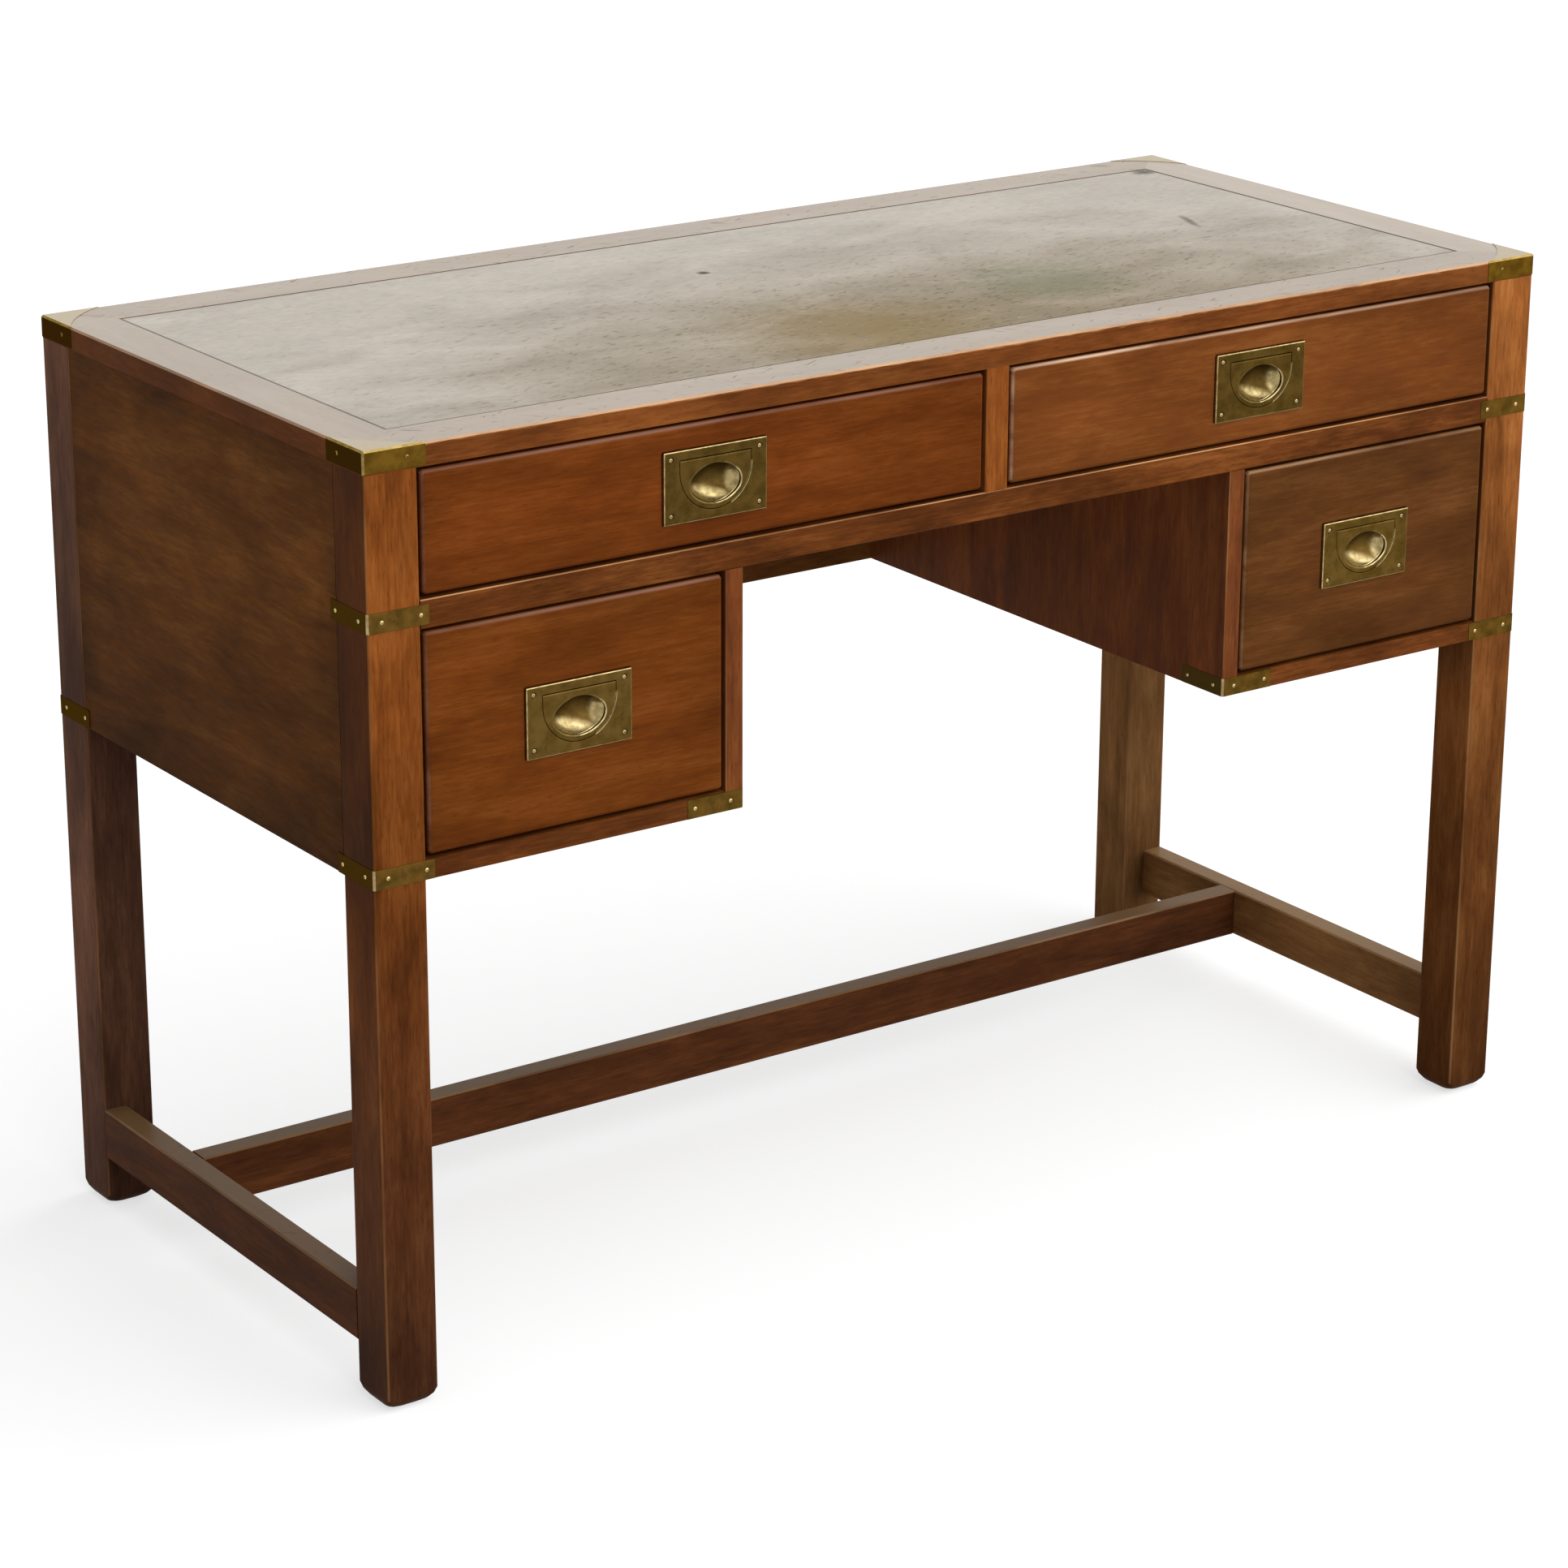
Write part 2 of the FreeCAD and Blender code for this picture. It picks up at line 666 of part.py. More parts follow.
# Which piece's tenons, tongues or edges are sunk into which
sunk_into = {"drawer_rail": ["dust_board"]}
for name, (sx, sy) in corners.items():
    end, hand = name.split("_")
    sunk_into[f"post_{name}"] = [f"side_panel_{hand}", f"side_stretcher_{hand}"]
    sunk_into[f"post_{name}"].append("drawer_rail" if end == "front" else "back_panel")
for hand in hands:
    sunk_into[f"side_panel_{hand}"] = ["dust_board", f"pedestal_floor_{hand}"]
    sunk_into[f"inner_panel_{hand}"] = [f"pedestal_floor_{hand}"]
    sunk_into[f"side_stretcher_{hand}"] = ["cross_stretcher"]
for edge in ("front", "back", "left", "right"):
    sunk_into[f"top_rail_{edge}"] = ["top_panel"]

# Straps at the drawer rail on the front posts, and at the case's lower edge on every corner
rail_strap_z = (rail_under + upper_floor - strap_height) / 2
strap_seats = []
for sx, sy in corners.values():
    strap_seats.append((V(sx * half_width, sy * half_depth, case_bottom), -sx, -sy))
for side in hands.values():
    strap_seats.append((V(side * half_width, front_y, rail_strap_z), -side, 1))
    strap_seats.append((V(side * knee_x, front_y, case_bottom), side, 1))
straps = [strap(*seat) for seat in strap_seats]
caps = [corner_cap(sx, sy) for sx, sy in corners.values()]

pins = []
for corner, dx, dy in strap_seats:
    pin_distances = (pin_corner_margin, strap_arm - pin_end_margin)
    pins += corner_pins(corner, dx, dy, corner.z + strap_height / 2, pin_distances)
for sx, sy in corners.values():
    cap_corner = V(sx * half_width, sy * half_depth, 0)
    pins += corner_pins(cap_corner, -sx, -sy, desk_height - cap_drop / 2, [cap_pin_share * cap_arm])

pieces = {}
for name, shape in wood.items():
    cutters = [wood[other] for other in sunk_into.get(name, [])] + straps + caps
    pieces[name] = shape.cut(cutters)
pieces["leather_inset"] = leather_inset()
pieces["corner_straps"] = Part.makeCompound(straps)
pieces["corner_caps"] = Part.makeCompound(caps)
pieces["brass_pins"] = Part.makeCompound(pins)

guides = [drawer_guide(side, floor) for side in hands.values() for floor in (upper_floor, lower_floor)]
pieces["drawer_guides"] = Part.makeCompound(guides)

half_divider = divider_thickness / 2
openings = {
    "upper_left": (-post_inner_x, -half_divider, upper_floor, top_under),
    "upper_right": (half_divider, post_inner_x, upper_floor, top_under),
    "lower_left": (-post_inner_x, -inner_outer_x, lower_floor, rail_under),
    "lower_right": (inner_outer_x, post_inner_x, lower_floor, rail_under),
}
stops = []
for name, (x_low, x_high, z_low, z_high) in openings.items():
    pieces.update(drawer(name, x_low, x_high, z_low, z_high))
    stops += drawer_stops(x_low, x_high, z_low)
pieces["drawer_stops"] = Part.makeCompound(stops)

os.makedirs("parts", exist_ok=True)
for name, shape in pieces.items():
    shape.exportStep(f"parts/{name}.step")
print(len(pieces), "nodes,", sum(len(shape.Solids) for shape in pieces.values()), "solids")
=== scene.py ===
# %% [markdown]
# # A campaign desk: mahogany, leather and brass
# This lesson dresses a small writing desk of the travelling kind: a mahogany case on square legs, four drawers with
# sunk drop handles, brass on every corner and a leather writing surface let into the top.
# The solids come from CAD. They are loaded as a fixed frame, so each board already has its place and its size, and
# the work here is what a finisher does: grain, polish, wear, and the small brass pieces that need rounder shapes.

# %% Load the frame
import math
import bmesh
import bpy
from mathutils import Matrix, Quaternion, Vector


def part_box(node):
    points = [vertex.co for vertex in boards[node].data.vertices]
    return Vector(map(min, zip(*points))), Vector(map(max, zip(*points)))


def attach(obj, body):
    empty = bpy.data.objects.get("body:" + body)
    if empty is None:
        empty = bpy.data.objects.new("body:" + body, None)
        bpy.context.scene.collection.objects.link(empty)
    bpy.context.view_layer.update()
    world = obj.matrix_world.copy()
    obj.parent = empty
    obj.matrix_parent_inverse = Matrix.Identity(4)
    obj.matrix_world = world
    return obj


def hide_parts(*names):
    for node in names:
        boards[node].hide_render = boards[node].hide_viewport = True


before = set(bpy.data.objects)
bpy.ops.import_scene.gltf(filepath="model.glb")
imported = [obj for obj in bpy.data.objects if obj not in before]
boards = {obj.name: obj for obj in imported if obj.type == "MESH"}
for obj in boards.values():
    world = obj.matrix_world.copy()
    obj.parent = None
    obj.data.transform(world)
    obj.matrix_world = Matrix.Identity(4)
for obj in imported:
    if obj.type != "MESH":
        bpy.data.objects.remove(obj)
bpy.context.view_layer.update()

# %% [markdown]
# ## Helpers for every finish
# Colours are picked as sRGB hex values, but a shader adds and multiplies light, so it needs linear values.
# Shader trees can be clicked together by hand. In a script, one function that adds a node, sets it and links it keeps
# every tree readable: each line of a finish below is one node.

# %% Colours and nodes
MM = 0.001
MATH, VECTOR_MATH, MAP_RANGE, MIX = "ShaderNodeMath", "ShaderNodeVectorMath", "ShaderNodeMapRange", "ShaderNodeMix"
# A Mix node's sockets are numbered, because their names repeat: plain numbers are mixed from low to high, and colours,
# with two more settings, from one to the other.
FACTOR, LOW, HIGH, FROM, TO = 0, 2, 3, 6, 7
COLOURS = {"data_type": "RGBA", "out": 2}


def linear(hex_colour):
    """Turns an sRGB hex colour into the linear colour that shaders work with."""
    channels = [int(hex_colour[i:i + 2], 16) / 255 for i in (1, 3, 5)]
    return [c / 12.92 if c <= 0.04045 else ((c + 0.055) / 1.055) ** 2.4 for c in channels] + [1.0]


def fill(tree, node, inputs):
    """Fills a node's sockets with values or links."""
    for socket, value in inputs.items():
        if isinstance(value, bpy.types.NodeSocket):
            tree.links.new(value, node.inputs[socket])
        else:
            node.inputs[socket].default_value = value


def add(tree, kind, inputs, stops=(), out=0, **settings):
    """Adds a node, sets it, fills its sockets, and gives back one output, or all for None."""
    node = tree.nodes.new(kind)
    for setting, value in settings.items():
        setattr(node, setting, value)
    fill(tree, node, inputs)
    for i, (position, colour) in enumerate(stops):
        element = node.color_ramp.elements[i] if i < 2 else node.color_ramp.elements.new(position)
        element.position = position
        element.color = linear(colour)
    return node.outputs if out is None else node.outputs[out]


def new_finish(name):
    """Empty material: itself, its node tree, its shader and the object's own coordinates."""
    material = bpy.data.materials.new(name)
    material.use_nodes = True
    tree = material.node_tree
    place = add(tree, "ShaderNodeTexCoord", {}, out="Object")
    return material, tree, tree.nodes["Principled BSDF"], place


print("brass, for instance, is linear", [round(c, 3) for c in linear("#b08d3c")])

# %% [markdown]
# ## Patterns and masks that several finishes share
# Wood, hide and patina are all uneven, each at its own scale. One noise does for all of them once it is drawn out to
# a real size in millimetres along each axis.
# Handling polishes what sticks out and leaves dirt in what lies deep. Edges could be painted by hand on each mesh, but
# here they find themselves: on a squared piece of joinery every broad face looks along x, y or z, so a place whose
# normal looks along none of them is a rounded edge. The normal is the object's own, so a mask moves with its drawer.

# %% Mottle, facing, edges and borders
def mottle(tree, place, size_mm, detail=2.0, distortion=0.0, turn=0.0):
    """Uneven grey, mostly between 0.3 and 0.7, with cells of a given size along x, y and z."""
    size = [side * MM for side in size_mm]
    drawn = add(tree, "ShaderNodeMapping", {"Vector": place, "Rotation": (0, 0, turn), "Scale": size},
                vector_type="TEXTURE")
    return add(tree, "ShaderNodeTexNoise", {"Vector": drawn, "Scale": 1.0, "Detail": detail, "Distortion": distortion})


def facing(tree, way, start=0.6, full=0.95):
    """1 where a surface looks along a way in the object's own axes, falling to 0 away from it."""
    normal = add(tree, "ShaderNodeTexCoord", {}, out="Normal")
    along = add(tree, VECTOR_MATH, {0: normal, 1: way}, operation="DOT_PRODUCT", out="Value")
    return add(tree, MAP_RANGE, {"Value": along, "From Min": start, "From Max": full})


def edge_mask(tree):
    """1 on rounded edges and 0 on the broad faces of squared pieces."""
    normal = add(tree, "ShaderNodeTexCoord", {}, out="Normal")
    size = add(tree, VECTOR_MATH, {0: normal}, operation="ABSOLUTE")
    x, y, z = add(tree, "ShaderNodeSeparateXYZ", {0: size}, out=None)
    widest = add(tree, MATH, {0: x, 1: y}, operation="MAXIMUM")
    widest = add(tree, MATH, {0: widest, 1: z}, operation="MAXIMUM")
    return add(tree, MAP_RANGE, {"Value": widest, "From Min": 0.985, "From Max": 0.85})


def border_distance(tree, place, low, high):
    """Distance in metres from a point on a flat panel to the nearest side of its outline."""
    middle, half = (low + high) / 2, (high - low) / 2
    thin = min(range(3), key=lambda axis: half[axis])
    half[thin] += 1.0  # far enough never to be the nearest
    away = add(tree, VECTOR_MATH, {0: place, 1: middle}, operation="SUBTRACT")
    away = add(tree, VECTOR_MATH, {0: away}, operation="ABSOLUTE")
    inside = add(tree, VECTOR_MATH, {0: half, 1: away}, operation="SUBTRACT")
    x, y, z = add(tree, "ShaderNodeSeparateXYZ", {0: inside}, out=None)
    nearest = add(tree, MATH, {0: x, 1: y}, operation="MINIMUM")
    return add(tree, MATH, {0: nearest, 1: z}, operation="MINIMUM")


def wear(material, *nodes):
    """Gives a finish to CAD solids."""
    for node in nodes:
        for place in boards[node].material_slots:
            place.material = material
    print(material.name, "on", len(nodes), "nodes")


# %% [markdown]
# ## Mahogany
# Mahogany has a broad, quiet figure along the board, fine fibres inside it, and open pores that show as short dark
# ticks. A photograph of veneer could be wrapped round the boards, but it would stretch and end at every joint. Noise
# in three dimensions, drawn out along the grain, goes right through the board as real grain does.
# The real fibres are about 0.3 mm wide, too fine for the picture, so they are drawn about four times as wide.

# %% Bare wood
def drawn_out(grain, length_mm, width_mm):
    """Size of a pattern that is long along the grain and narrow across it."""
    return [length_mm if axis == grain else width_mm for axis in "xyz"]


def bare_wood(tree, place, grain, dark, mid, light):
    """Colour of the wood, and the patterns in it by name."""
    figure = mottle(tree, place, drawn_out(grain, 160, 26), 4.0, 0.8)
    flecks = mottle(tree, place, drawn_out(grain, 18, 3.0), 3.0)
    fibre = mottle(tree, place, drawn_out(grain, 60, 1.3))
    pores = mottle(tree, place, drawn_out(grain, 9, 0.9), 1.0)
    blend = add(tree, MIX, {FACTOR: 0.35, LOW: figure, HIGH: flecks})
    blend = add(tree, MIX, {FACTOR: 0.2, LOW: blend, HIGH: fibre})
    wood = add(tree, "ShaderNodeValToRGB", {"Fac": blend}, stops=[(0.32, dark), (0.68, light), (0.5, mid)])
    ticks = add(tree, MAP_RANGE, {"Value": pores, "From Min": 0.6, "From Max": 0.72, "To Max": 0.5})
    wood = add(tree, MIX, {FACTOR: ticks, FROM: wood, TO: linear(dark)}, **COLOURS)
    return wood, {"figure": figure, "flecks": flecks, "fibre": fibre, "ticks": ticks, "blend": blend}


# %% [markdown]
# Age does the rest. Old wood is never even: it darkens towards the border of a panel, and it wears pale on the edges
# that a hand or a cloth passes over. Painted shade and light go in with it: the legs are painted darker towards the
# floor, a post's flanks are painted darker or lighter, a painted grey haze takes colour out of some posts, and the
# upper and left edges are painted pale as a highlight as well as worn. All this could be painted on each board, but a
# rule fits any board: each function below takes the wood's colour so far and gives back the next.

# %% Dark with age, with painted shade and light
CASE_LOW, TOP_LOW = 0.43, 0.74  # heights in metres of the case's lower edge and of the top's underside


def aged_with_painted_shade(tree, place, wood, grain, span, panel, border, heights, flanks, painted_grey_haze):
    """Wood that is uneven by a span and dark along a panel's border. Painted shade and painted light set it darker or
    lighter by height at the floor, the case's lower edge and the top, and on a post's flanks below and beside the case.
    A painted grey haze of bounced and reflected light takes colour out of a post at its foot and at its head."""
    clouds = mottle(tree, place, drawn_out(grain, 110, 65), 4.0, 0.6)
    age_and_painted_shade = add(tree, MAP_RANGE, {"Value": clouds, "From Min": 0.3, "From Max": 0.7,
                                "To Min": 1 - span, "To Max": 1 + span})
    colourful = 1.0
    if panel:
        distance = border_distance(tree, place, *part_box(panel))
        ragged = add(tree, MATH, {0: clouds, 1: 50 * MM, 2: distance}, operation="MULTIPLY_ADD")
        clean = add(tree, MAP_RANGE, {"Value": ragged, "From Min": 22 * MM, "From Max": 70 * MM, "To Min": border})
        age_and_painted_shade = add(tree, MATH, {0: age_and_painted_shade, 1: clean}, operation="MULTIPLY")
    # Painted shade and light by height: darker towards the floor and the case's lower edge, set again towards the top.
    if heights:
        floor_level, case_level, top_level = heights
        z = add(tree, "ShaderNodeSeparateXYZ", {0: place}, out="Z")
        low = add(tree, MAP_RANGE, {"Value": z, "From Max": CASE_LOW, "To Min": floor_level, "To Max": case_level})
        high = add(tree, MAP_RANGE, {"Value": z, "From Min": CASE_LOW, "From Max": TOP_LOW,
                                     "To Min": 1.0, "To Max": top_level / case_level})
        low = add(tree, MATH, {0: low, 1: high}, operation="MULTIPLY")
        age_and_painted_shade = add(tree, MATH, {0: age_and_painted_shade, 1: low}, operation="MULTIPLY")
    # Painted shade and light on a post's flanks: darker or lighter below and beside the case.
    if flanks:
        below, beside = flanks
        level = add(tree, MAP_RANGE, {"Value": z, "From Min": 0.35, "From Max": 0.45,
                                      "To Min": below, "To Max": beside})
        flank = add(tree, MATH, {0: facing(tree, (-1, 0, 0)), 1: facing(tree, (1, 0, 0))}, operation="ADD")
        level = add(tree, MIX, {FACTOR: flank, LOW: 1.0, HIGH: level})
        age_and_painted_shade = add(tree, MATH, {0: age_and_painted_shade, 1: level}, operation="MULTIPLY")
        # A painted grey haze of bounced and reflected light takes colour out at a post's foot and head.
        foot, head = painted_grey_haze
        colourful = add(tree, MAP_RANGE, {"Value": z, "From Max": CASE_LOW, "To Min": foot, "To Max": head})
    return add(tree, "ShaderNodeHueSaturation", {"Saturation": colourful, "Value": age_and_painted_shade, "Color": wood})


# %% Worn and chipped edges, and painted highlights
def worn_and_highlit_edges(tree, wood, worn_and_highlit, figure):
    """Pale wood on the rounded edges that a hand or a cloth reaches and that face up and to the front left: wear, and a
    painted highlight where those edges catch the light.
    """
    handled_and_lit = add(tree, MAP_RANGE, {"Value": figure, "From Min": 0.4, "From Max": 0.64, "To Min": 0.25, "To Max": 0.9})
    handled_and_lit = add(tree, MATH, {0: handled_and_lit, 1: edge_mask(tree)}, operation="MULTIPLY")
    # Only edges facing up and to the front left are the lit ones, so this pale is a painted highlight as well as wear.
    reached_and_lit = facing(tree, (-0.3, -0.3, 0.9), 0.1, 0.8)
    handled_and_lit = add(tree, MATH, {0: handled_and_lit, 1: reached_and_lit}, operation="MULTIPLY")
    return add(tree, MIX, {FACTOR: handled_and_lit, FROM: wood, TO: linear(worn_and_highlit)}, **COLOURS)


def chipped(tree, place, wood, worn_and_highlit, board, flecks):
    """Pale chips along the upper front edge of a board."""
    low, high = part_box(board)
    away = add(tree, VECTOR_MATH, {0: place, 1: (0, 1, 1), 2: (0, -low.y, -high.z)}, operation="MULTIPLY_ADD")
    away = add(tree, VECTOR_MATH, {0: away}, operation="LENGTH", out="Value")
    ragged = add(tree, MATH, {0: flecks, 1: 5 * MM, 2: away}, operation="MULTIPLY_ADD")
    chips = add(tree, MAP_RANGE, {"Value": ragged, "From Min": 5 * MM, "From Max": 3 * MM, "To Max": 0.7})
    return add(tree, MIX, {FACTOR: chips, FROM: wood, TO: linear(worn_and_highlit)}, **COLOURS)


# %% Wax, dust and painted sheen
# An IOR of 1.45 is usual for wax. It is higher here, to match how strongly the real top mirrors the sky.
WAX_ROUGHNESS, WAX_IOR = 0.3, 1.95


def film_and_sheen_on_top(tree, shader, place, wood, film_and_sheen, dark, sheen, dents, blend):
    """Pale colour on upward faces, with dents through it: old wax on the top and dust on the stretchers, and partly a
    painted sheen. It also gives them a coat that mirrors the sky at a low angle.
    """
    upward = facing(tree, (0, 0, 1))
    film = add(tree, MAP_RANGE, {"Value": blend, "From Min": 0.3, "From Max": 0.7, "To Min": 0.75})
    film = add(tree, MATH, {0: film, 1: upward}, operation="MULTIPLY")
    wood = add(tree, MIX, {FACTOR: film, FROM: wood, TO: linear(film_and_sheen)}, **COLOURS)
    for turn in (0.5, -0.7):
        dent = mottle(tree, place, (22, 2.4, 40), 1.0, 1.0, turn)
        dent = add(tree, MAP_RANGE, {"Value": dent, "From Min": 0.7, "From Max": 0.75, "To Max": dents})
        dent = add(tree, MATH, {0: dent, 1: upward}, operation="MULTIPLY")
        wood = add(tree, MIX, {FACTOR: dent, FROM: wood, TO: linear(dark)}, **COLOURS)
        upward = add(tree, MATH, {0: upward, 1: dent}, operation="SUBTRACT")
    shine = add(tree, MATH, {0: upward, 1: sheen}, operation="MULTIPLY")
    fill(tree, shader, {"Coat Weight": shine, "Coat Roughness": WAX_ROUGHNESS, "Coat IOR": WAX_IOR})
    return wood


# %% Timber finish
def timber(name, grain, dark, mid, light, worn_and_highlit, span=0.15, panel=None, border=0.82, heights=None, flanks=None,
           painted_grey_haze=None, film_and_sheen=None, sheen=0.42, dents=0.3, arris=None, specular=0.025, roughness=0.5):
    """Old polished wood with its grain along one axis. Its upward faces take a pale colour of wax and dust that is
    partly a painted sheen, and arris names a board with a chipped front edge. Its polish is dull with age, so it hardly
    mirrors anything."""
    material, tree, shader, place = new_finish(name)
    wood, pattern = bare_wood(tree, place, grain, dark, mid, light)
    wood = aged_with_painted_shade(tree, place, wood, grain, span, panel, border, heights, flanks, painted_grey_haze)
    wood = worn_and_highlit_edges(tree, wood, worn_and_highlit, pattern["figure"])
    if film_and_sheen:
        wood = film_and_sheen_on_top(tree, shader, place, wood, film_and_sheen, dark, sheen, dents, pattern["blend"])
    if arris:
        wood = chipped(tree, place, wood, worn_and_highlit, arris, pattern["flecks"])
    gloss = add(tree, MAP_RANGE, {"Value": pattern["fibre"], "From Min": 0.3, "From Max": 0.7,
                                  "To Min": roughness - 0.06, "To Max": roughness + 0.1})
    height = add(tree, MATH, {0: pattern["fibre"], 1: pattern["ticks"]}, operation="SUBTRACT")
    relief = add(tree, "ShaderNodeBump", {"Strength": 0.2, "Distance": 0.2 * MM, "Height": height})
    fill(tree, shader, {"Base Color": wood, "Roughness": gloss, "Normal": relief, "Specular IOR Level": specular})
    return material


# %% [markdown]
# The frame, the case and the drawers use the same timber with the grain turned: upright in the posts, across in rails
# and drawer fronts, front to back in the sides. The right-hand posts are paler, and the back right post and the right
# stretcher are painted paler still, as painted light on faces that lie in shade. The legs are painted darker towards
# the floor as painted shade, the low stretchers get darker tones, and the rails between the drawers have the brown of
# old polish that a cloth never reached. The top's frame is pale, partly with wax and partly with a painted sheen. So
# each board gets tones of its own, and a table keeps what differs from post to post.

# %% Tones of the boards
# The last tone of each is for worn edges, and on the upper and left edges it is also a painted highlight.
LEFT = {"dark": "#5e2f0f", "mid": "#84481b", "light": "#a3602a", "worn_and_highlit": "#b07e50"}
RIGHT = {"dark": "#6f3e19", "mid": "#9a5c2b", "light": "#b4763f", "worn_and_highlit": "#bd9064"}
RAILS = {"dark": "#522b11", "mid": "#6b3a17", "light": "#824c22", "worn_and_highlit": "#cf9c6c"}
DIRTY_RAILS = {**RAILS, "dark": "#42210d", "mid": "#613414"}
TOP_RAILS = {**RAILS, "mid": "#733f1a", "light": "#8a5226"}
SIDES = {"dark": "#523012", "mid": "#6b3f19", "light": "#805327", "worn_and_highlit": "#a0764c"}
# Darker tones for the low stretchers
DARK_LOW_TONES = {"dark": "#3a1f11", "mid": "#4f2c16", "light": "#653b1f", "worn_and_highlit": "#94704c"}
KNEEHOLE = {"dark": "#522912", "mid": "#733d1a", "light": "#8c5226", "worn_and_highlit": "#c8976a"}
# Paler tones, painted light on the shaded faces of the back right post and the right stretcher
PAINTED_LIGHT_TONES = {"dark": "#6f4826", "mid": "#8a5f36", "light": "#a07446", "worn_and_highlit": "#bd9064"}
# Pale colours of upward faces: wax on the top, dust on the stretchers, and partly a painted sheen; the right-hand ones
# are painted paler still as painted light.
WAX_AND_SHEEN, WAX_AND_SHEEN_RIGHT, DUST_AND_SHEEN, DUST_AND_SHEEN_RIGHT = "#aea294", "#b9ad9f", "#6d5335", "#7d6240"

# Tones, how dark or light by height and on the flanks as painted shade and painted light, and how much colour a painted
# grey haze takes out at the foot and the head of each post
POSTS = {
    "front_left": (LEFT, (0.22, 0.58, 1.0), (1.35, 0.45), (0.9, 1.0)),
    "back_left": (LEFT, (0.19, 0.4, 0.9), (2.2, 0.85), (0.82, 0.8)),
    "front_right": (RIGHT, (0.22, 0.53, 1.16), (1.4, 0.52), (1.0, 1.0)),
    "back_right": (PAINTED_LIGHT_TONES, (0.45, 0.75, 0.9), (1.8, 0.7), (1.0, 1.0)),
}
print("tones for", len(POSTS), "posts and for the boards between them")

# %% Finish the case
for corner, (tones, heights, flanks, painted_grey_haze) in POSTS.items():
    wear(timber(f"mahogany, {corner.replace('_', ' ')} post", "z", **tones, span=0.28, specular=0.022,
                heights=heights, flanks=flanks, painted_grey_haze=painted_grey_haze), f"post_{corner}")
wear(timber("mahogany, divider", "z", **LEFT), "centre_divider")
wear(timber("mahogany, rails", "x", **DIRTY_RAILS, span=0.38),
     "drawer_rail", "pedestal_floor_left", "pedestal_floor_right")
UNDERFOOT = {"span": 0.25, "sheen": 0.2}
wear(timber("mahogany, cross stretcher", "x", **DARK_LOW_TONES, **UNDERFOOT, film_and_sheen=DUST_AND_SHEEN), "cross_stretcher")
wear(timber("mahogany, left stretcher", "y", **DARK_LOW_TONES, **UNDERFOOT, film_and_sheen=DUST_AND_SHEEN), "side_stretcher_left")
# The right stretcher's inner face lies in shade, so its paler tones are painted light.
wear(timber("mahogany, right stretcher", "y", **PAINTED_LIGHT_TONES, **UNDERFOOT, film_and_sheen=DUST_AND_SHEEN_RIGHT), "side_stretcher_right")
wear(timber("mahogany, top front and back", "x", **TOP_RAILS, span=0.3, film_and_sheen=WAX_AND_SHEEN, dents=0.6, arris="top_rail_front"),
     "top_rail_front", "top_rail_back")
wear(timber("mahogany, top left end", "y", **RAILS, span=0.25, film_and_sheen=WAX_AND_SHEEN, dents=0.15), "top_rail_left")
wear(timber("mahogany, top right end", "y", **RAILS, span=0.25, film_and_sheen=WAX_AND_SHEEN_RIGHT, dents=0.15), "top_rail_right")
wear(timber("mahogany, back", "x", **SIDES, span=0.25, panel="back_panel"), "back_panel", "top_panel")
for hand in ("left", "right"):
    side, inner = f"side_panel_{hand}", f"inner_panel_{hand}"
    wear(timber(f"mahogany, {hand} side", "y", **SIDES, span=0.28, heights=(0.7, 0.7, 1.2), panel=side, border=0.6,
                specular=0.015), side)
    wear(timber(f"mahogany, {hand} kneehole side", "z", **KNEEHOLE, span=0.25, specular=0.06), inner)

# %% Finish the drawer fronts
# Each drawer's edge tone is wear and, on its upper and left edges, a painted highlight.
DRAWERS = {
    "upper_left": {"dark": "#5d2c0e", "mid": "#713913", "light": "#83471c", "worn_and_highlit": "#8b6453"},
    "upper_right": {"dark": "#683819", "mid": "#78431c", "light": "#8c5428", "worn_and_highlit": "#e6c2a4"},
    "lower_left": {"dark": "#592b0e", "mid": "#6c3812", "light": "#7e461c", "worn_and_highlit": "#8b6453"},
    "lower_right": {"dark": "#502e17", "mid": "#603919", "light": "#724825", "worn_and_highlit": "#ad8664"},
}
for drawer, tones in DRAWERS.items():
    front = f"{drawer}_drawer_front"
    wear(timber(f"mahogany, {drawer} drawer", "x", **tones, panel=front, specular=0.015), front)

# %% [markdown]
# Drawer boxes are never polished. They are a cheaper, paler wood, dry and rough, and they show only when a drawer is
# pulled out, so the same function serves them with dull settings.

# %% Finish the drawer boxes
OAK = {"dark": "#8a6b42", "mid": "#a5824f", "light": "#bb9967", "worn_and_highlit": "#c9aa7c", "specular": 0.15, "roughness": 0.65}
lengthways = [f"{drawer}_drawer_{side}_side" for drawer in DRAWERS for side in ("left", "right")]
crossways = [f"{drawer}_drawer_{part}" for drawer in DRAWERS for part in ("back", "bottom")]
wear(timber("oak, drawer sides", "y", **OAK), "drawer_guides", *lengthways)
wear(timber("oak, drawer backs", "x", **OAK), "dust_board", "drawer_stops", *crossways)

# %% [markdown]
# ## Sanded edges
# A cabinet maker takes the sharpness off every edge with sandpaper, and that thin round is what catches the light.
# The drawer fronts have flat chamfers in CAD. A Bevel modifier turns each of them into a round one, and a Weld modifier
# before it merges the loose triangles so that the bevel can find the edges. The top's rails are left as they are: their
# mitres were planed flush after glueing, and a bevel would open them.
# The posts need no more edges. Their corners and feet are already made of narrow facets, which only have to be shaded
# as one round. A small Geometry Nodes tree does that without touching the CAD mesh, and a Weighted Normal modifier
# keeps the broad faces flat beside the rounds.

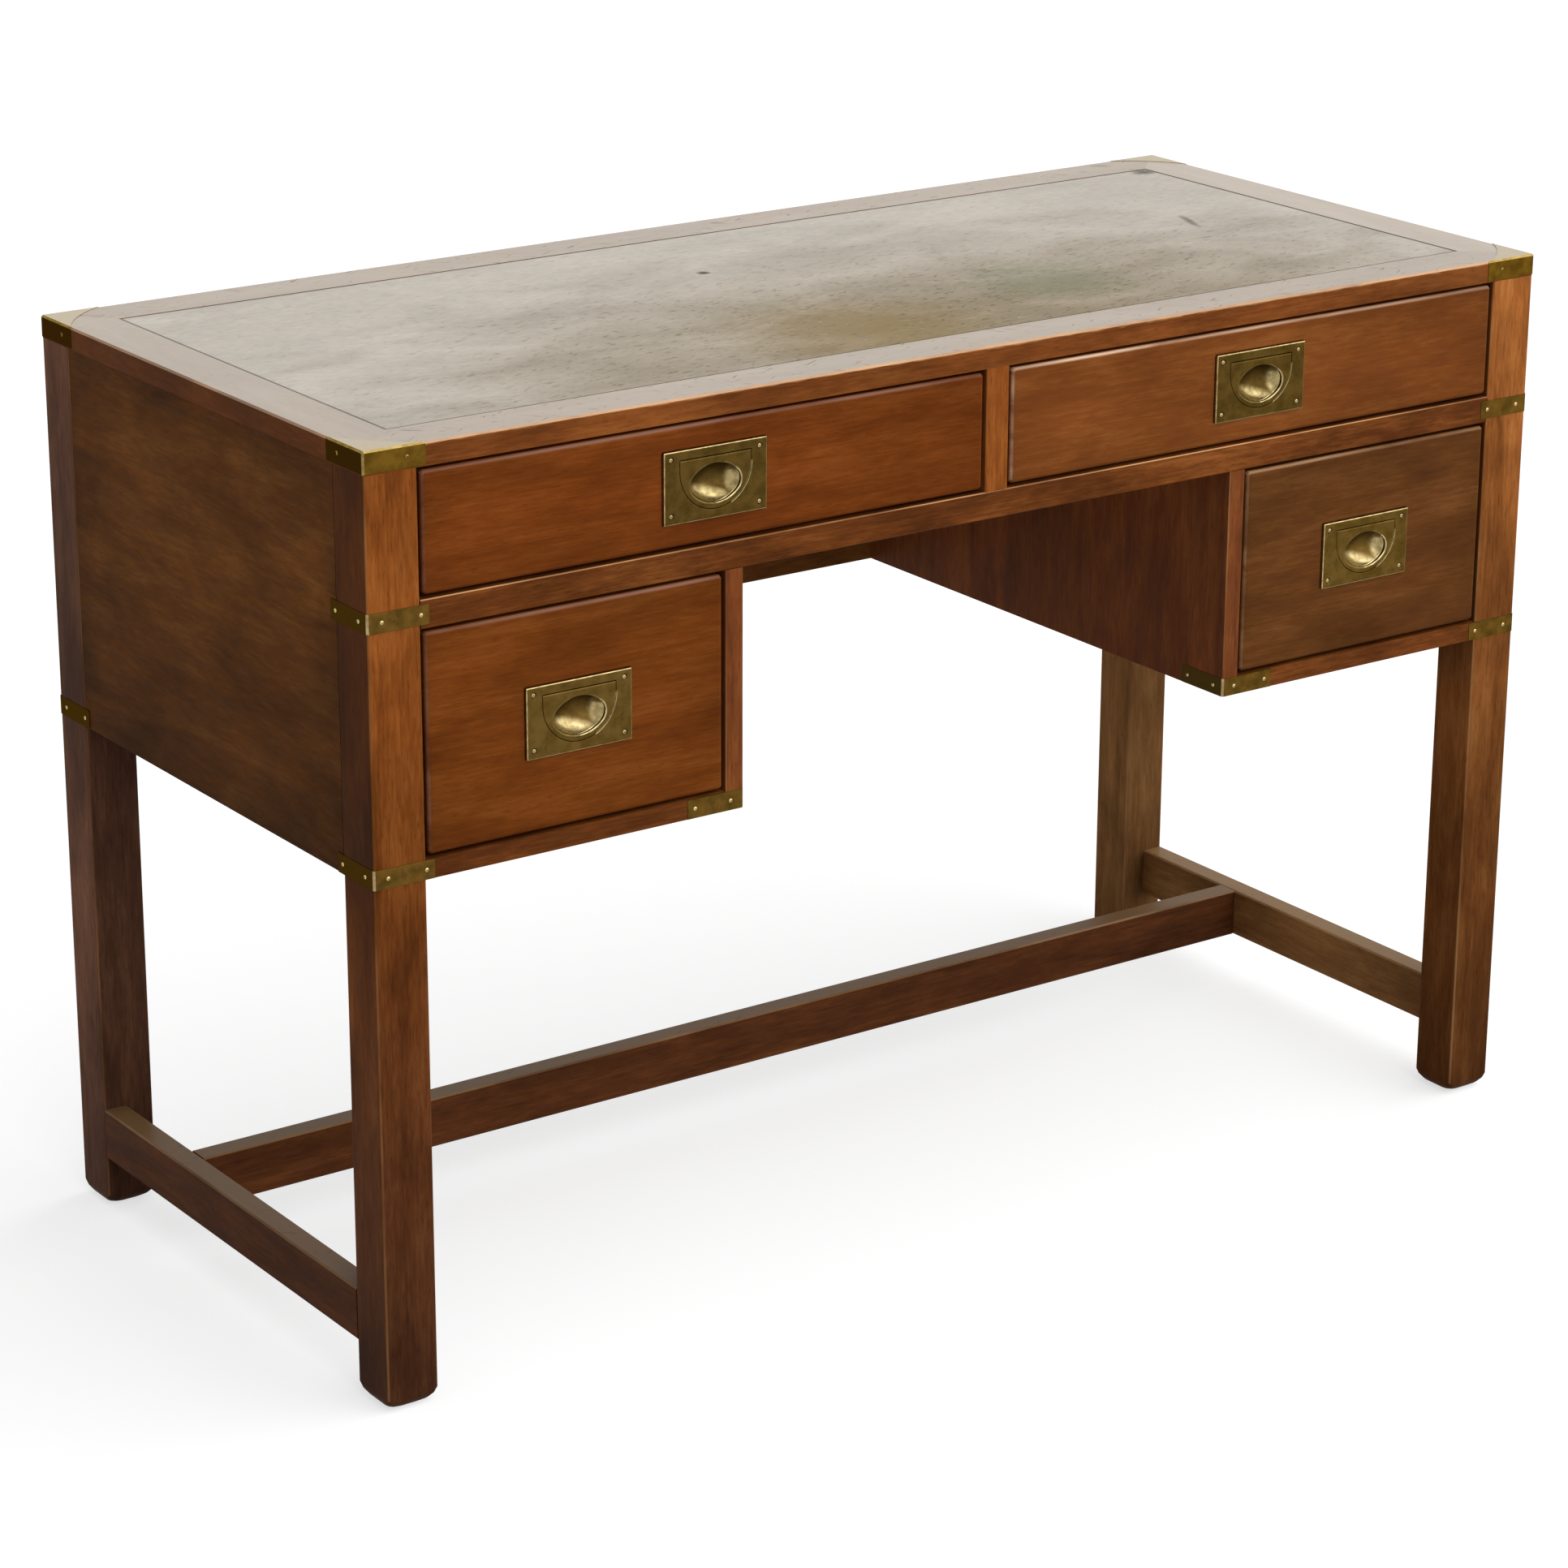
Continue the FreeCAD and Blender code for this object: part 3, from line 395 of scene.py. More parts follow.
# %% Round the edges
def merge_corners(node):
    """Joins a CAD solid's loose triangles, which every later modifier needs."""
    merged = boards[node].modifiers.new("merged corners", "WELD")
    merged.merge_threshold = 0.01 * MM


def sand(node, width_mm):
    """Rounds the edges of a CAD board by a width in millimetres."""
    merge_corners(node)
    rounded = boards[node].modifiers.new("sanded edges", "BEVEL")
    rounded.width = width_mm * MM
    rounded.segments = 3
    rounded.limit_method = "ANGLE"
    rounded.angle_limit = math.radians(30)
    rounded.use_clamp_overlap = False


for drawer in DRAWERS:
    sand(f"{drawer}_drawer_front", width_mm=1.2)
print("rounded the edges of", sum(1 for board in boards.values() if board.modifiers), "boards")

# %% Shade the posts' rounds
def new_tree(name, **inputs):
    """Geometry Nodes tree with named inputs beside its geometry: itself and the sockets of these inputs."""
    tree = bpy.data.node_groups.new(name, "GeometryNodeTree")
    tree.interface.new_socket("Geometry", in_out="OUTPUT", socket_type="NodeSocketGeometry")
    for socket, kind in {"Geometry": "Geometry", **inputs}.items():
        tree.interface.new_socket(socket, in_out="INPUT", socket_type=f"NodeSocket{kind}")
    return tree, tree.nodes.new("NodeGroupInput").outputs


def put_tree(piece, tree, **sizes):
    """Puts a tree on a piece and sets its inputs, which a modifier knows by identifier and not by name."""
    nodes = piece.modifiers.new(tree.name, "NODES")
    nodes.node_group = tree
    for item in tree.interface.items_tree:
        if item.in_out == "INPUT" and item.name in sizes:
            nodes[item.identifier] = sizes[item.name]


shaded_round, given = new_tree("shaded round", Crease="Float")
bend = add(shaded_round, "GeometryNodeInputMeshEdgeAngle", {}, out="Unsigned Angle")
crease = add(shaded_round, "FunctionNodeCompare", {0: bend, 1: given["Crease"]}, operation="GREATER_THAN")
soft = add(shaded_round, "GeometryNodeSetShadeSmooth", {"Geometry": given["Geometry"]}, domain="FACE")
soft = add(shaded_round, "GeometryNodeSetShadeSmooth", {"Geometry": soft, "Selection": crease, "Shade Smooth": False},
           domain="EDGE")
shaded_round.links.new(soft, shaded_round.nodes.new("NodeGroupOutput").inputs[0])

CREASE = 50
for corner in POSTS:
    post = f"post_{corner}"
    merge_corners(post)
    put_tree(boards[post], shaded_round, Crease=math.radians(CREASE))
    flats = boards[post].modifiers.new("flat broad faces", "WEIGHTED_NORMAL")
    flats.keep_sharp = True
print("posts shaded round up to a bend of", CREASE, "degrees")

# %% [markdown]
# ## Leather
# The writing surface is a thin hide, once dark green, now faded to an olive grey. Wax and light have left it pale and
# shiny, and its pale tone is partly a painted sheen as well. Arms have rubbed it dull and brown along the front, where
# the writing was done. It has a fine pebbled grain, specks, stains, a scratch and an ink spot. The block from CAD has
# the right shape, so all of this is in the finish. A mark could be painted on an image, but a place, a size and a
# ragged edge are enough to draw one with nodes.
# The real grain is about 0.8 mm, and here it is drawn at 2 mm so that the picture shows it.

# %% Marks on the leather
# Place of the middle, length and width from there, all in metres, turn in radians, colour and strength
MARKS = {
    "brown stain": ((-0.06, -0.15), (0.12, 0.12), 0, "#907849", 0.35),
    "green stain": ((0.17, -0.10), (0.075, 0.075), 0, "#6d8069", 0.35),
    "ink spot": ((-0.05, 0.083), (0.006, 0.006), 0, "#2c2f26", 0.95),
    "smudge": ((0.515, 0.198), (0.012, 0.012), 0, "#3f423a", 0.8),
    "scratch": ((0.415, 0.013), (0.026, 0.0045), 1.21, "#4c4638", 0.6),
}


def marked(tree, place, level, grain, hide, shine):
    """Hide and its shine with the old marks on it. The stronger a mark is, the less wax it keeps."""
    for (x, y), (length, width), turn, colour, strength in MARKS.values():
        outline = {"Location": (x, y, level), "Rotation": (0, 0, turn), "Scale": (length, width, 1)}
        gap = add(tree, "ShaderNodeMapping", {"Vector": place, **outline}, vector_type="TEXTURE")
        gap = add(tree, VECTOR_MATH, {0: gap}, operation="LENGTH", out="Value")
        ragged = add(tree, MATH, {0: grain, 1: gap}, operation="ADD")
        mark = add(tree, MAP_RANGE, {"Value": ragged, "From Min": 1.6, "From Max": 0.8, "To Max": strength})
        hide = add(tree, MIX, {FACTOR: mark, FROM: hide, TO: linear(colour)}, **COLOURS)
        shine = add(tree, MATH, {0: shine, 1: mark}, operation="SUBTRACT", use_clamp=True)
    return hide, shine


def specked(tree, place, used, hide, shine):
    """Hide and its shine with dark specks and pale flecks, most of them where it is used."""
    strength = add(tree, MAP_RANGE, {"Value": used, "To Min": 0.18, "To Max": 0.7})
    specks = mottle(tree, place, (11, 3.5, 6), 3.0, 0.6, 0.2)
    specks = add(tree, MAP_RANGE, {"Value": specks, "From Min": 0.58, "From Max": 0.7, "To Max": strength})
    hide = add(tree, MIX, {FACTOR: specks, FROM: hide, TO: linear("#5a5340")}, **COLOURS)
    shine = add(tree, MATH, {0: shine, 1: specks}, operation="SUBTRACT", use_clamp=True)
    flecks = mottle(tree, place, (13, 2.2, 6), 2.0, 0.4, -0.3)
    flecks = add(tree, MAP_RANGE, {"Value": flecks, "From Min": 0.66, "From Max": 0.76, "To Max": strength})
    hide = add(tree, MIX, {FACTOR: flecks, FROM: hide, TO: linear("#c4baa2")}, **COLOURS)
    return hide, shine


print("marks on the leather:", ", ".join(MARKS))

# %% Leather finish
SEAT, SEAT_REACH = (0.04, -0.2), (0.33, 0.18)  # middle and half sizes of the used part, in metres


def faded_leather(name, node):
    """Waxed hide, pale and shiny, its pale tone partly a painted sheen, rubbed dull and brown along the front."""
    material, tree, shader, place = new_finish(name)
    low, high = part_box(node)
    blotches = mottle(tree, place, (130, 70, 70), 5.0, 0.6)
    grain = mottle(tree, place, (10, 6, 8), 4.0, 0.5)
    away = add(tree, "ShaderNodeMapping", {"Vector": place, "Location": (*SEAT, high.z), "Scale": (*SEAT_REACH, 1)},
               vector_type="TEXTURE")
    away = add(tree, VECTOR_MATH, {0: away}, operation="LENGTH", out="Value")
    away = add(tree, MATH, {0: blotches, 1: 1.5, 2: away}, operation="MULTIPLY_ADD")
    used = add(tree, MAP_RANGE, {"Value": away, "From Min": 2.7, "From Max": 1.0})

    # The pale tone is partly the faded hide and partly a painted sheen.
    hide = add(tree, MIX, {FACTOR: used, FROM: linear("#aba295"), TO: linear("#7d6c4d")}, **COLOURS)
    uneven = add(tree, MATH, {0: grain, 1: blotches}, operation="ADD")
    uneven = add(tree, MAP_RANGE, {"Value": uneven, "From Min": 0.7, "From Max": 1.3, "To Min": 0.8, "To Max": 1.16})
    hide = add(tree, "ShaderNodeHueSaturation", {"Value": uneven, "Color": hide})
    shine = add(tree, MAP_RANGE, {"Value": used, "To Min": 0.5, "To Max": 0.28})
    hide, shine = marked(tree, place, high.z, grain, hide, shine)
    hide, shine = specked(tree, place, used, hide, shine)

    distance = border_distance(tree, place, low, high)
    seam = add(tree, MAP_RANGE, {"Value": distance, "From Min": 2.6 * MM, "From Max": 1.2 * MM, "To Max": 0.75})
    hide = add(tree, MIX, {FACTOR: seam, FROM: hide, TO: linear("#3d3526")}, **COLOURS)
    shine = add(tree, MATH, {0: shine, 1: seam}, operation="SUBTRACT", use_clamp=True)
    pebbles = add(tree, "ShaderNodeTexVoronoi", {"Vector": place, "Scale": 1 / (2 * MM)})
    height = add(tree, MATH, {0: pebbles, 1: seam}, operation="SUBTRACT")
    relief = add(tree, "ShaderNodeBump", {"Strength": 0.15, "Distance": 0.15 * MM, "Height": height})
    gloss = add(tree, MAP_RANGE, {"Value": grain, "From Min": 0.3, "From Max": 0.7, "To Min": 0.5, "To Max": 0.65})
    fill(tree, shader, {"Base Color": hide, "Roughness": gloss, "Normal": relief, "Specular IOR Level": 0.1})
    fill(tree, shader, {"Coat Weight": shine, "Coat Roughness": 0.35, "Coat IOR": 1.8})
    return material


wear(faded_leather("leather, faded green", "leather_inset"), "leather_inset")

# %% [markdown]
# ## Brass
# The corner pieces are sheet brass and the handles are cast. Both were polished once and have gone olive since, and
# they stay bright where they are rubbed: on edges, on pin heads and in the bowls where fingers go. On the handles the
# bright places are also painted highlights, where a light would shine in the bowl and on the lower right of the bail.
# So one finish mixes a patina with a polished colour, by the edge mask or by a painted amount of rub and highlight
# where a piece has one.
# The sheet pieces turn round a corner, and each arm gets a colour of its own: the ones on the sides are painted
# darkest, as painted shade, and the caps' flat tops are painted pale and less metallic, as a painted reflection of the
# bright room, under a coat of wax like the wood's.

# %% Brass finish
def old_brass(name, patina, metal, polished_and_highlight, side=None, top=None, rubbed_and_highlit=False, tint="#bcae8c"):
    """Metal with cloudy patina, dark spots, and polish on its edges, or by a painted map of rub and painted highlights.
    A side colour on the side arms is painted shade, and a top colour on upward faces a painted reflection.
    """
    material, tree, shader, place = new_finish(name)
    clouds = mottle(tree, place, (11, 11, 11), 3.0)
    clouds = add(tree, MAP_RANGE, {"Value": clouds, "From Min": 0.36, "From Max": 0.64})
    skin = add(tree, MIX, {FACTOR: clouds, FROM: linear(patina), TO: linear(metal)}, **COLOURS)
    # Side arms get a darker colour as painted shade, and upward faces a pale one as a painted reflection.
    for way, colour in (((1, 0, 0), side), ((-1, 0, 0), side), ((0, 0, 1), top)):
        if colour:
            turned = facing(tree, way, 0.8, 0.97)
            skin = add(tree, MIX, {FACTOR: turned, FROM: skin, TO: linear(colour)}, **COLOURS)
    spots = mottle(tree, place, (2.6, 2.6, 2.6))
    spots = add(tree, MAP_RANGE, {"Value": spots, "From Min": 0.6, "From Max": 0.72, "To Max": 0.5})
    skin = add(tree, "ShaderNodeHueSaturation", {"Value": 0.5, "Fac": spots, "Color": skin})
    bright = edge_mask(tree)
    if rubbed_and_highlit:
        bright = add(tree, "ShaderNodeAttribute", {}, out="Fac", attribute_name="rub_and_highlight")
    tarnish = mottle(tree, place, (5, 5, 5), 4.0)
    tarnish = add(tree, MAP_RANGE, {"Value": tarnish, "From Min": 0.38, "From Max": 0.6, "To Min": 0.55})
    bright = add(tree, MATH, {0: bright, 1: tarnish}, operation="MULTIPLY")
    skin = add(tree, MIX, {FACTOR: bright, FROM: skin, TO: linear(polished_and_highlight)}, **COLOURS)
    gloss = add(tree, MAP_RANGE, {"Value": bright, "To Min": 0.45, "To Max": 0.18})
    dimples = mottle(tree, place, (6, 6, 6), 1.0)
    relief = add(tree, "ShaderNodeBump", {"Strength": 0.12, "Distance": 0.2 * MM, "Height": dimples})
    fill(tree, shader, {"Base Color": skin, "Roughness": gloss, "Normal": relief})
    fill(tree, shader, {"Metallic": 1.0, "Specular Tint": linear(tint)})
    # A pale, less metallic top is a painted reflection of the bright room, under a wax coat.
    if top:
        upward = facing(tree, (0, 0, 1), 0.8, 0.97)
        bare = add(tree, MAP_RANGE, {"Value": upward, "To Min": 1.0, "To Max": 0.25})
        film = add(tree, MATH, {0: upward, 1: 0.42}, operation="MULTIPLY")
        fill(tree, shader, {"Metallic": bare, "Coat Weight": film})
        fill(tree, shader, {"Coat Roughness": WAX_ROUGHNESS, "Coat IOR": WAX_IOR})
    return material


# The side colours are painted shade and the caps' top colour a painted reflection.
strap_brass = old_brass("brass, sheet straps", "#4b3915", "#64491e", "#a5906a", side="#40321a")
cap_brass = old_brass("brass, sheet caps", "#4e3811", "#664c17", "#8f7a48", side="#352815", top="#afa083")
cast_brass = {"upper": old_brass("brass, cast upper handles", "#443415", "#54411d", "#b3a070", rubbed_and_highlit=True),
              "lower": old_brass("brass, cast lower handles", "#4f3c19", "#604a23", "#bba878", rubbed_and_highlit=True)}
pin_brass = old_brass("brass, pin heads", "#85734a", "#a08c58", "#cdb980", tint="#ffffff")
screw_brass = old_brass("brass, screw heads", "#6d5d33", "#86744a", "#b9a67c", tint="#ffffff")
wear(strap_brass, "corner_straps")
wear(cap_brass, "corner_caps")

# %% [markdown]
# ## Drop handles
# Each handle is a cast plate let into the drawer front. A D-shaped bail lies flush in a pocket of the plate, and its
# oval opening looks into a dished bowl, where a finger hooks under the bail and pulls it out.
# Box modelling with booleans would leave hard creases. Seen from the front, though, every outline of a handle goes
# once round the middle of the bowl: the plate's rectangle, the pocket's D, the oval mouth. So the plate is a set of
# rings about that middle, each ring one outline at one depth, and the bail is the same between a D and an oval.

# %% Outlines of a handle, in millimetres from the bowl's middle
PLATE_LOW, PLATE_HIGH = Vector((-46.75, -27.4)), Vector((46.75, 29.2))
BAIL_HALF, BAIL_TOP, BAIL_ARC = 32.4, 21.4, 12.5
OVAL_HALF, OVAL_RISE, OVAL_END = 23.0, 15.3, 9.945
OVAL_FLAT = ((OVAL_HALF - OVAL_END) ** 2 + OVAL_RISE ** 2 - OVAL_END ** 2) / (2 * (OVAL_RISE - OVAL_END))


def plate_outline(turn, grow):
    """Point of the plate's rectangle in one direction, moved out by grow."""
    dx, dz = math.cos(turn), math.sin(turn)
    side, rise = PLATE_HIGH.x, PLATE_HIGH.y if dz > 0 else -PLATE_LOW.y
    reach = min(side / max(abs(dx), 1e-9), rise / max(abs(dz), 1e-9))
    x = min(max(reach * dx, PLATE_LOW.x - grow), PLATE_HIGH.x + grow)
    z = min(max(reach * dz, PLATE_LOW.y - grow), PLATE_HIGH.y + grow)
    return x, z


def bail_outline(turn, grow):
    """Point of the bail's D: a level top, short straight sides and a half-round bottom."""
    dx, dz = math.cos(turn), math.sin(turn)
    half, top = BAIL_HALF + grow, BAIL_TOP + grow
    reach = half / max(abs(dx), 1e-9)
    if dz > 0:
        reach = min(reach, top / dz)
    if reach * dz < BAIL_ARC:
        reach = BAIL_ARC * dz + math.sqrt(half ** 2 - (BAIL_ARC * dx) ** 2)
    return reach * dx, reach * dz


def oval_outline(turn, grow):
    """Point of the oval of two end arcs and two flatter arcs."""
    dx, dz = abs(math.cos(turn)), abs(math.sin(turn))
    drop, end_x = OVAL_FLAT - OVAL_RISE, OVAL_HALF - OVAL_END
    flat, end = OVAL_FLAT + grow, OVAL_END + grow
    reach = math.sqrt(flat ** 2 - (drop * dx) ** 2) - drop * dz
    if reach * dx > flat * end_x / math.hypot(end_x, drop):
        reach = end_x * dx + math.sqrt(end ** 2 - (end_x * dz) ** 2)
    return reach * math.cos(turn), reach * math.sin(turn)


corner_turns = [math.atan2(z, x) for x in (PLATE_LOW.x, PLATE_HIGH.x) for z in (PLATE_LOW.y, PLATE_HIGH.y)]
corner_turns += [math.atan2(BAIL_TOP, x) for x in (-BAIL_HALF, BAIL_HALF)]
even_turns = [2 * math.pi * i / 144 - math.pi for i in range(144)]
TURNS = sorted(corner_turns + [t for t in even_turns if min(abs(t - c) for c in corner_turns) > 0.015])
print("each ring of a handle has", len(TURNS), "points")

# %% [markdown]
# A list of outline, growth, share and depth now describes each casting, from the outside in. Depth counts from the
# plate's face. The small steps near an edge are its rounding: a cast and filed edge is never sharp. Each ring also
# says how much it is rubbed, so the polish follows the shape.

# %% Rings of the plate and of the bail
# Depths of the pocket, the plate's back and the bowl, thickness of the bail and the bowl's wall, gap round the bail
POCKET, BACK, BOWL, BAIL, WALL, BAIL_GAP = 3.3, 5.0, 10.5, 3.0, 1.3, 0.4
BOWL_REACH = 16.3
BOWL_ROUND = (BOWL_REACH ** 2 + BOWL ** 2) / (2 * BOWL)
# Radii of the rounded edges. A rounding has five rings, each so far inward and so far down as shares of the radius.
PLATE_EDGE, POCKET_EDGE, BAIL_EDGE, LIP_EDGE = 0.9, 0.3, 0.5, 0.9
ROUNDING = [(1 - math.cos(a), 1 - math.sin(a)) for a in (0, 0.4, 0.8, 1.2, math.pi / 2)]


def bowl_depth(share):
    """Depth of the bowl at a share of the way from its middle to its mouth."""
    return math.sqrt(BOWL_ROUND ** 2 - (BOWL_REACH * share) ** 2) - (BOWL_ROUND - BOWL)


plate_rings = [(oval_outline, share, share, POCKET + WALL + bowl_depth(share)) for share in (0.1, 0.4, 0.7, 0.9)]
plate_rings += [(oval_outline, 2.2, 1, BACK), (plate_outline, 0, 1, BACK)]
plate_rings += [(plate_outline, -PLATE_EDGE * inward, 1, PLATE_EDGE * down) for inward, down in ROUNDING]
plate_rings += [(plate_outline, -1.5, 1, 0), (bail_outline, 1.1, 1, 0)]
plate_rings += [(bail_outline, BAIL_GAP + POCKET_EDGE * down, 1, POCKET_EDGE * inward) for inward, down in ROUNDING]
plate_rings += [(bail_outline, BAIL_GAP, 1, POCKET - POCKET_EDGE), (bail_outline, 0.1, 1, POCKET)]
plate_rings += [(oval_outline, 1.7, 1, POCKET), (oval_outline, 1.2, 1, POCKET + 0.12)]
plate_rings += [(oval_outline, share, share, POCKET + bowl_depth(share))
                for share in (0.99, 0.96, 0.92, 0.86, 0.79, 0.71, 0.62, 0.52, 0.41, 0.3, 0.18, 0.06)]

bail_rings = [(bail_outline, -BAIL_EDGE * inward, 1, BAIL_EDGE * down) for inward, down in ROUNDING]
bail_rings += [(bail_outline, -0.8, 1, 0), (oval_outline, 1.5, 1, 0)]
bail_rings += [(oval_outline, LIP_EDGE * down, 1, LIP_EDGE * inward) for inward, down in ROUNDING]
bail_rings += [(oval_outline, LIP_EDGE * inward, 1, BAIL - LIP_EDGE * down) for inward, down in ROUNDING]
bail_rings += [(bail_outline, -BAIL_EDGE * down, 1, BAIL - BAIL_EDGE * inward) for inward, down in ROUNDING]
print(len(plate_rings), "rings in a plate and", len(bail_rings), "in a bail")

# %% A casting through rings
def in_scene(name, data):
    """New object in the scene, at the origin."""
    piece = bpy.data.objects.new(name, data)
    bpy.context.scene.collection.objects.link(piece)
    return piece


def cast(name, rings, origin, closed_round):
    """Mesh through rings of points. It closes on itself, or its first and last rings are capped."""
    shell = bmesh.new()
    rows = []
    for outline, grow, share, depth in rings:
        points = [outline(turn, grow) for turn in TURNS]
        rows.append([shell.verts.new(origin + Vector((x * share, depth, z * share)) * MM) for x, z in points])
    followers = rows[1:] + rows[:1] if closed_round else rows[1:]
    for near, far in zip(rows, followers):
        for i in range(len(TURNS)):
            shell.faces.new((near[i - 1], near[i], far[i], far[i - 1]))
    if not closed_round:
        shell.faces.new(rows[0])
        shell.faces.new(rows[-1])
    bmesh.ops.remove_doubles(shell, verts=shell.verts, dist=0.002 * MM)
    bmesh.ops.recalc_face_normals(shell, faces=shell.faces)
    mesh = bpy.data.meshes.new(name)
    shell.to_mesh(mesh)
    shell.free()
    return in_scene(name, mesh)


# %% [markdown]
# The bail's upper edge must turn in its pocket without touching, so there the casting is a full round about the hinge.
# The screws' countersinks are cut out of the plate with one Boolean. Then the rub and highlight are painted point by
# point: the plate's outer rim is rubbed, and the lower part of the bowl, its right side, the lower right of the bail's
# lip and of the pocket get polish with painted highlights.

# %% Tools for the castings
# Size of a countersink's cone, and how deep its middle lies under the plate's face
CONE = {"segments": 24, "radius1": 2.9 * MM, "radius2": 0.8 * MM, "depth": 3 * MM}
CONE_SUNK = 1.1 * MM


def plain_mesh(piece):
    """Replaces a piece's mesh by what its modifiers make of it, and removes them."""
    depsgraph = bpy.context.evaluated_depsgraph_get()
    finished = bpy.data.meshes.new_from_object(piece.evaluated_get(depsgraph))
    piece.modifiers.clear()
    piece.data = finished


def countersink(plate, spots):
    """Cuts a cone for a screw's head into the plate at each spot."""
    cones = bmesh.new()
    for spot in spots:
        made = bmesh.ops.create_cone(cones, cap_ends=True, **CONE)
        turn = Vector((0, 0, 1)).rotation_difference(Vector((0, 1, 0))).to_matrix()
        bmesh.ops.rotate(cones, verts=made["verts"], matrix=turn, cent=(0, 0, 0))
        bmesh.ops.translate(cones, verts=made["verts"], vec=spot + Vector((0, CONE_SUNK, 0)))
    cutter_mesh = bpy.data.meshes.new("countersinks")
    cones.to_mesh(cutter_mesh)
    cones.free()
    cutter = in_scene("countersinks", cutter_mesh)
    cut = plate.modifiers.new("countersinks", "BOOLEAN")
    cut.object = cutter
    plain_mesh(plate)
    bpy.data.objects.remove(cutter)


def plate_rub_and_highlight(x, depth, z):
    """How bright a point of the plate is painted: its outer rim, rubbed, and the bowl's lower left and right and the
    pocket's lower right, polish with a painted highlight.
    """
    across, up = x / OVAL_HALF, z / OVAL_RISE
    if depth > POCKET + 0.05:
        lower_left = (-0.75 * up - 0.35 * across - 0.2) / 0.3
        right = min((across - 0.6) / 0.2, 0.75)
        return max(lower_left, right)
    if depth < 1.0:
        rim = min(PLATE_HIGH.x - abs(x), z - PLATE_LOW.y, PLATE_HIGH.y - z)
        pocket_rim = abs(math.hypot(x, z - BAIL_ARC) - BAIL_HALF - 0.5) < 0.45 and z < BAIL_ARC
        return 0.95 if rim < 0.8 else 0.8 if pocket_rim and x > 14 else 0.0
    return 0.0


def bail_rub_and_highlight(x, depth, z):
    """How bright a point of the bail is painted: its lip a little, and at the lower right its lip and its outer edge,
    polish with a painted highlight.
    """
    lip = math.hypot(x / OVAL_HALF, z / OVAL_RISE) < 1.045 and depth < 1.5
    edge = math.hypot(x, z - BAIL_ARC) > BAIL_HALF - 0.6 and z < BAIL_ARC and x > 14 and depth < 0.6
    return (1.0 if x > 0 and z < 10 else 0.2) if lip else 0.6 if edge else 0.0


def finish_casting(piece, middle, amount, brass):
    """Stores each point's painted amount of rub and highlight, smooths all but its sharp edges, and gives it its brass.
    """
    rub_and_highlight = piece.data.attributes.new("rub_and_highlight", "FLOAT", "POINT")
    amounts = [amount(*(vertex.co - middle) / MM) for vertex in piece.data.vertices]
    rub_and_highlight.data.foreach_set("value", [min(max(value, 0), 1) for value in amounts])
    piece.data.shade_smooth()
    piece.data.set_sharp_from_angle(angle=math.radians(35))
    piece.data.materials.clear()
    piece.data.materials.append(brass)


# %% Build the four handles
SCREW_MARGIN = 6.5
screw_spots = {}
for drawer in DRAWERS:
    low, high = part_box(f"{drawer}_handle_plate")
    middle = Vector(((low.x + high.x) / 2, low.y, high.z - PLATE_HIGH.y * MM))
    screw_spots[drawer] = [middle + Vector((x, 0, z)) * MM
                           for x in (PLATE_LOW.x + SCREW_MARGIN, PLATE_HIGH.x - SCREW_MARGIN)
                           for z in (PLATE_LOW.y + SCREW_MARGIN, PLATE_HIGH.y - SCREW_MARGIN)]
    plate = cast(f"{drawer}_plate", plate_rings, middle, closed_round=False)
    countersink(plate, screw_spots[drawer])
    brass = cast_brass[drawer.split("_")[0]]
    finish_casting(plate, middle, plate_rub_and_highlight, brass)
    bail = cast(f"{drawer}_bail", bail_rings, middle, closed_round=True)
    hinge_z, half = middle.z + (BAIL_TOP - BAIL / 2) * MM, BAIL / 2 * MM
    for vertex in bail.data.vertices:
        if vertex.co.z > hinge_z:
            level = (vertex.co.y - middle.y - half) / half
            vertex.co.z = min(vertex.co.z, hinge_z + half * math.sqrt(max(1 - level ** 2, 0)))
    finish_casting(bail, middle, bail_rub_and_highlight, brass)
    for piece, node, body in ((plate, "handle_plate", "drawer"), (bail, "handle_bail", "bail")):
        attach(piece, f"{drawer}_{body}")
        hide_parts(f"{drawer}_{node}")
    print(drawer, "plate", len(plate.data.polygons), "faces, bail", len(bail.data.polygons), "faces")

# %% [markdown]
# ## Pins and screws
# The corner brasses are held by small pins with domed heads, and each handle by four slotted screws. Forty pins could
# be placed one by one, but Geometry Nodes do it from one head and a list of points: a head is put on every point,
# turned to look along the way out, and made real. The screws' slots point anywhere, as a hand left them, so they get
# a random turn with a fixed seed.

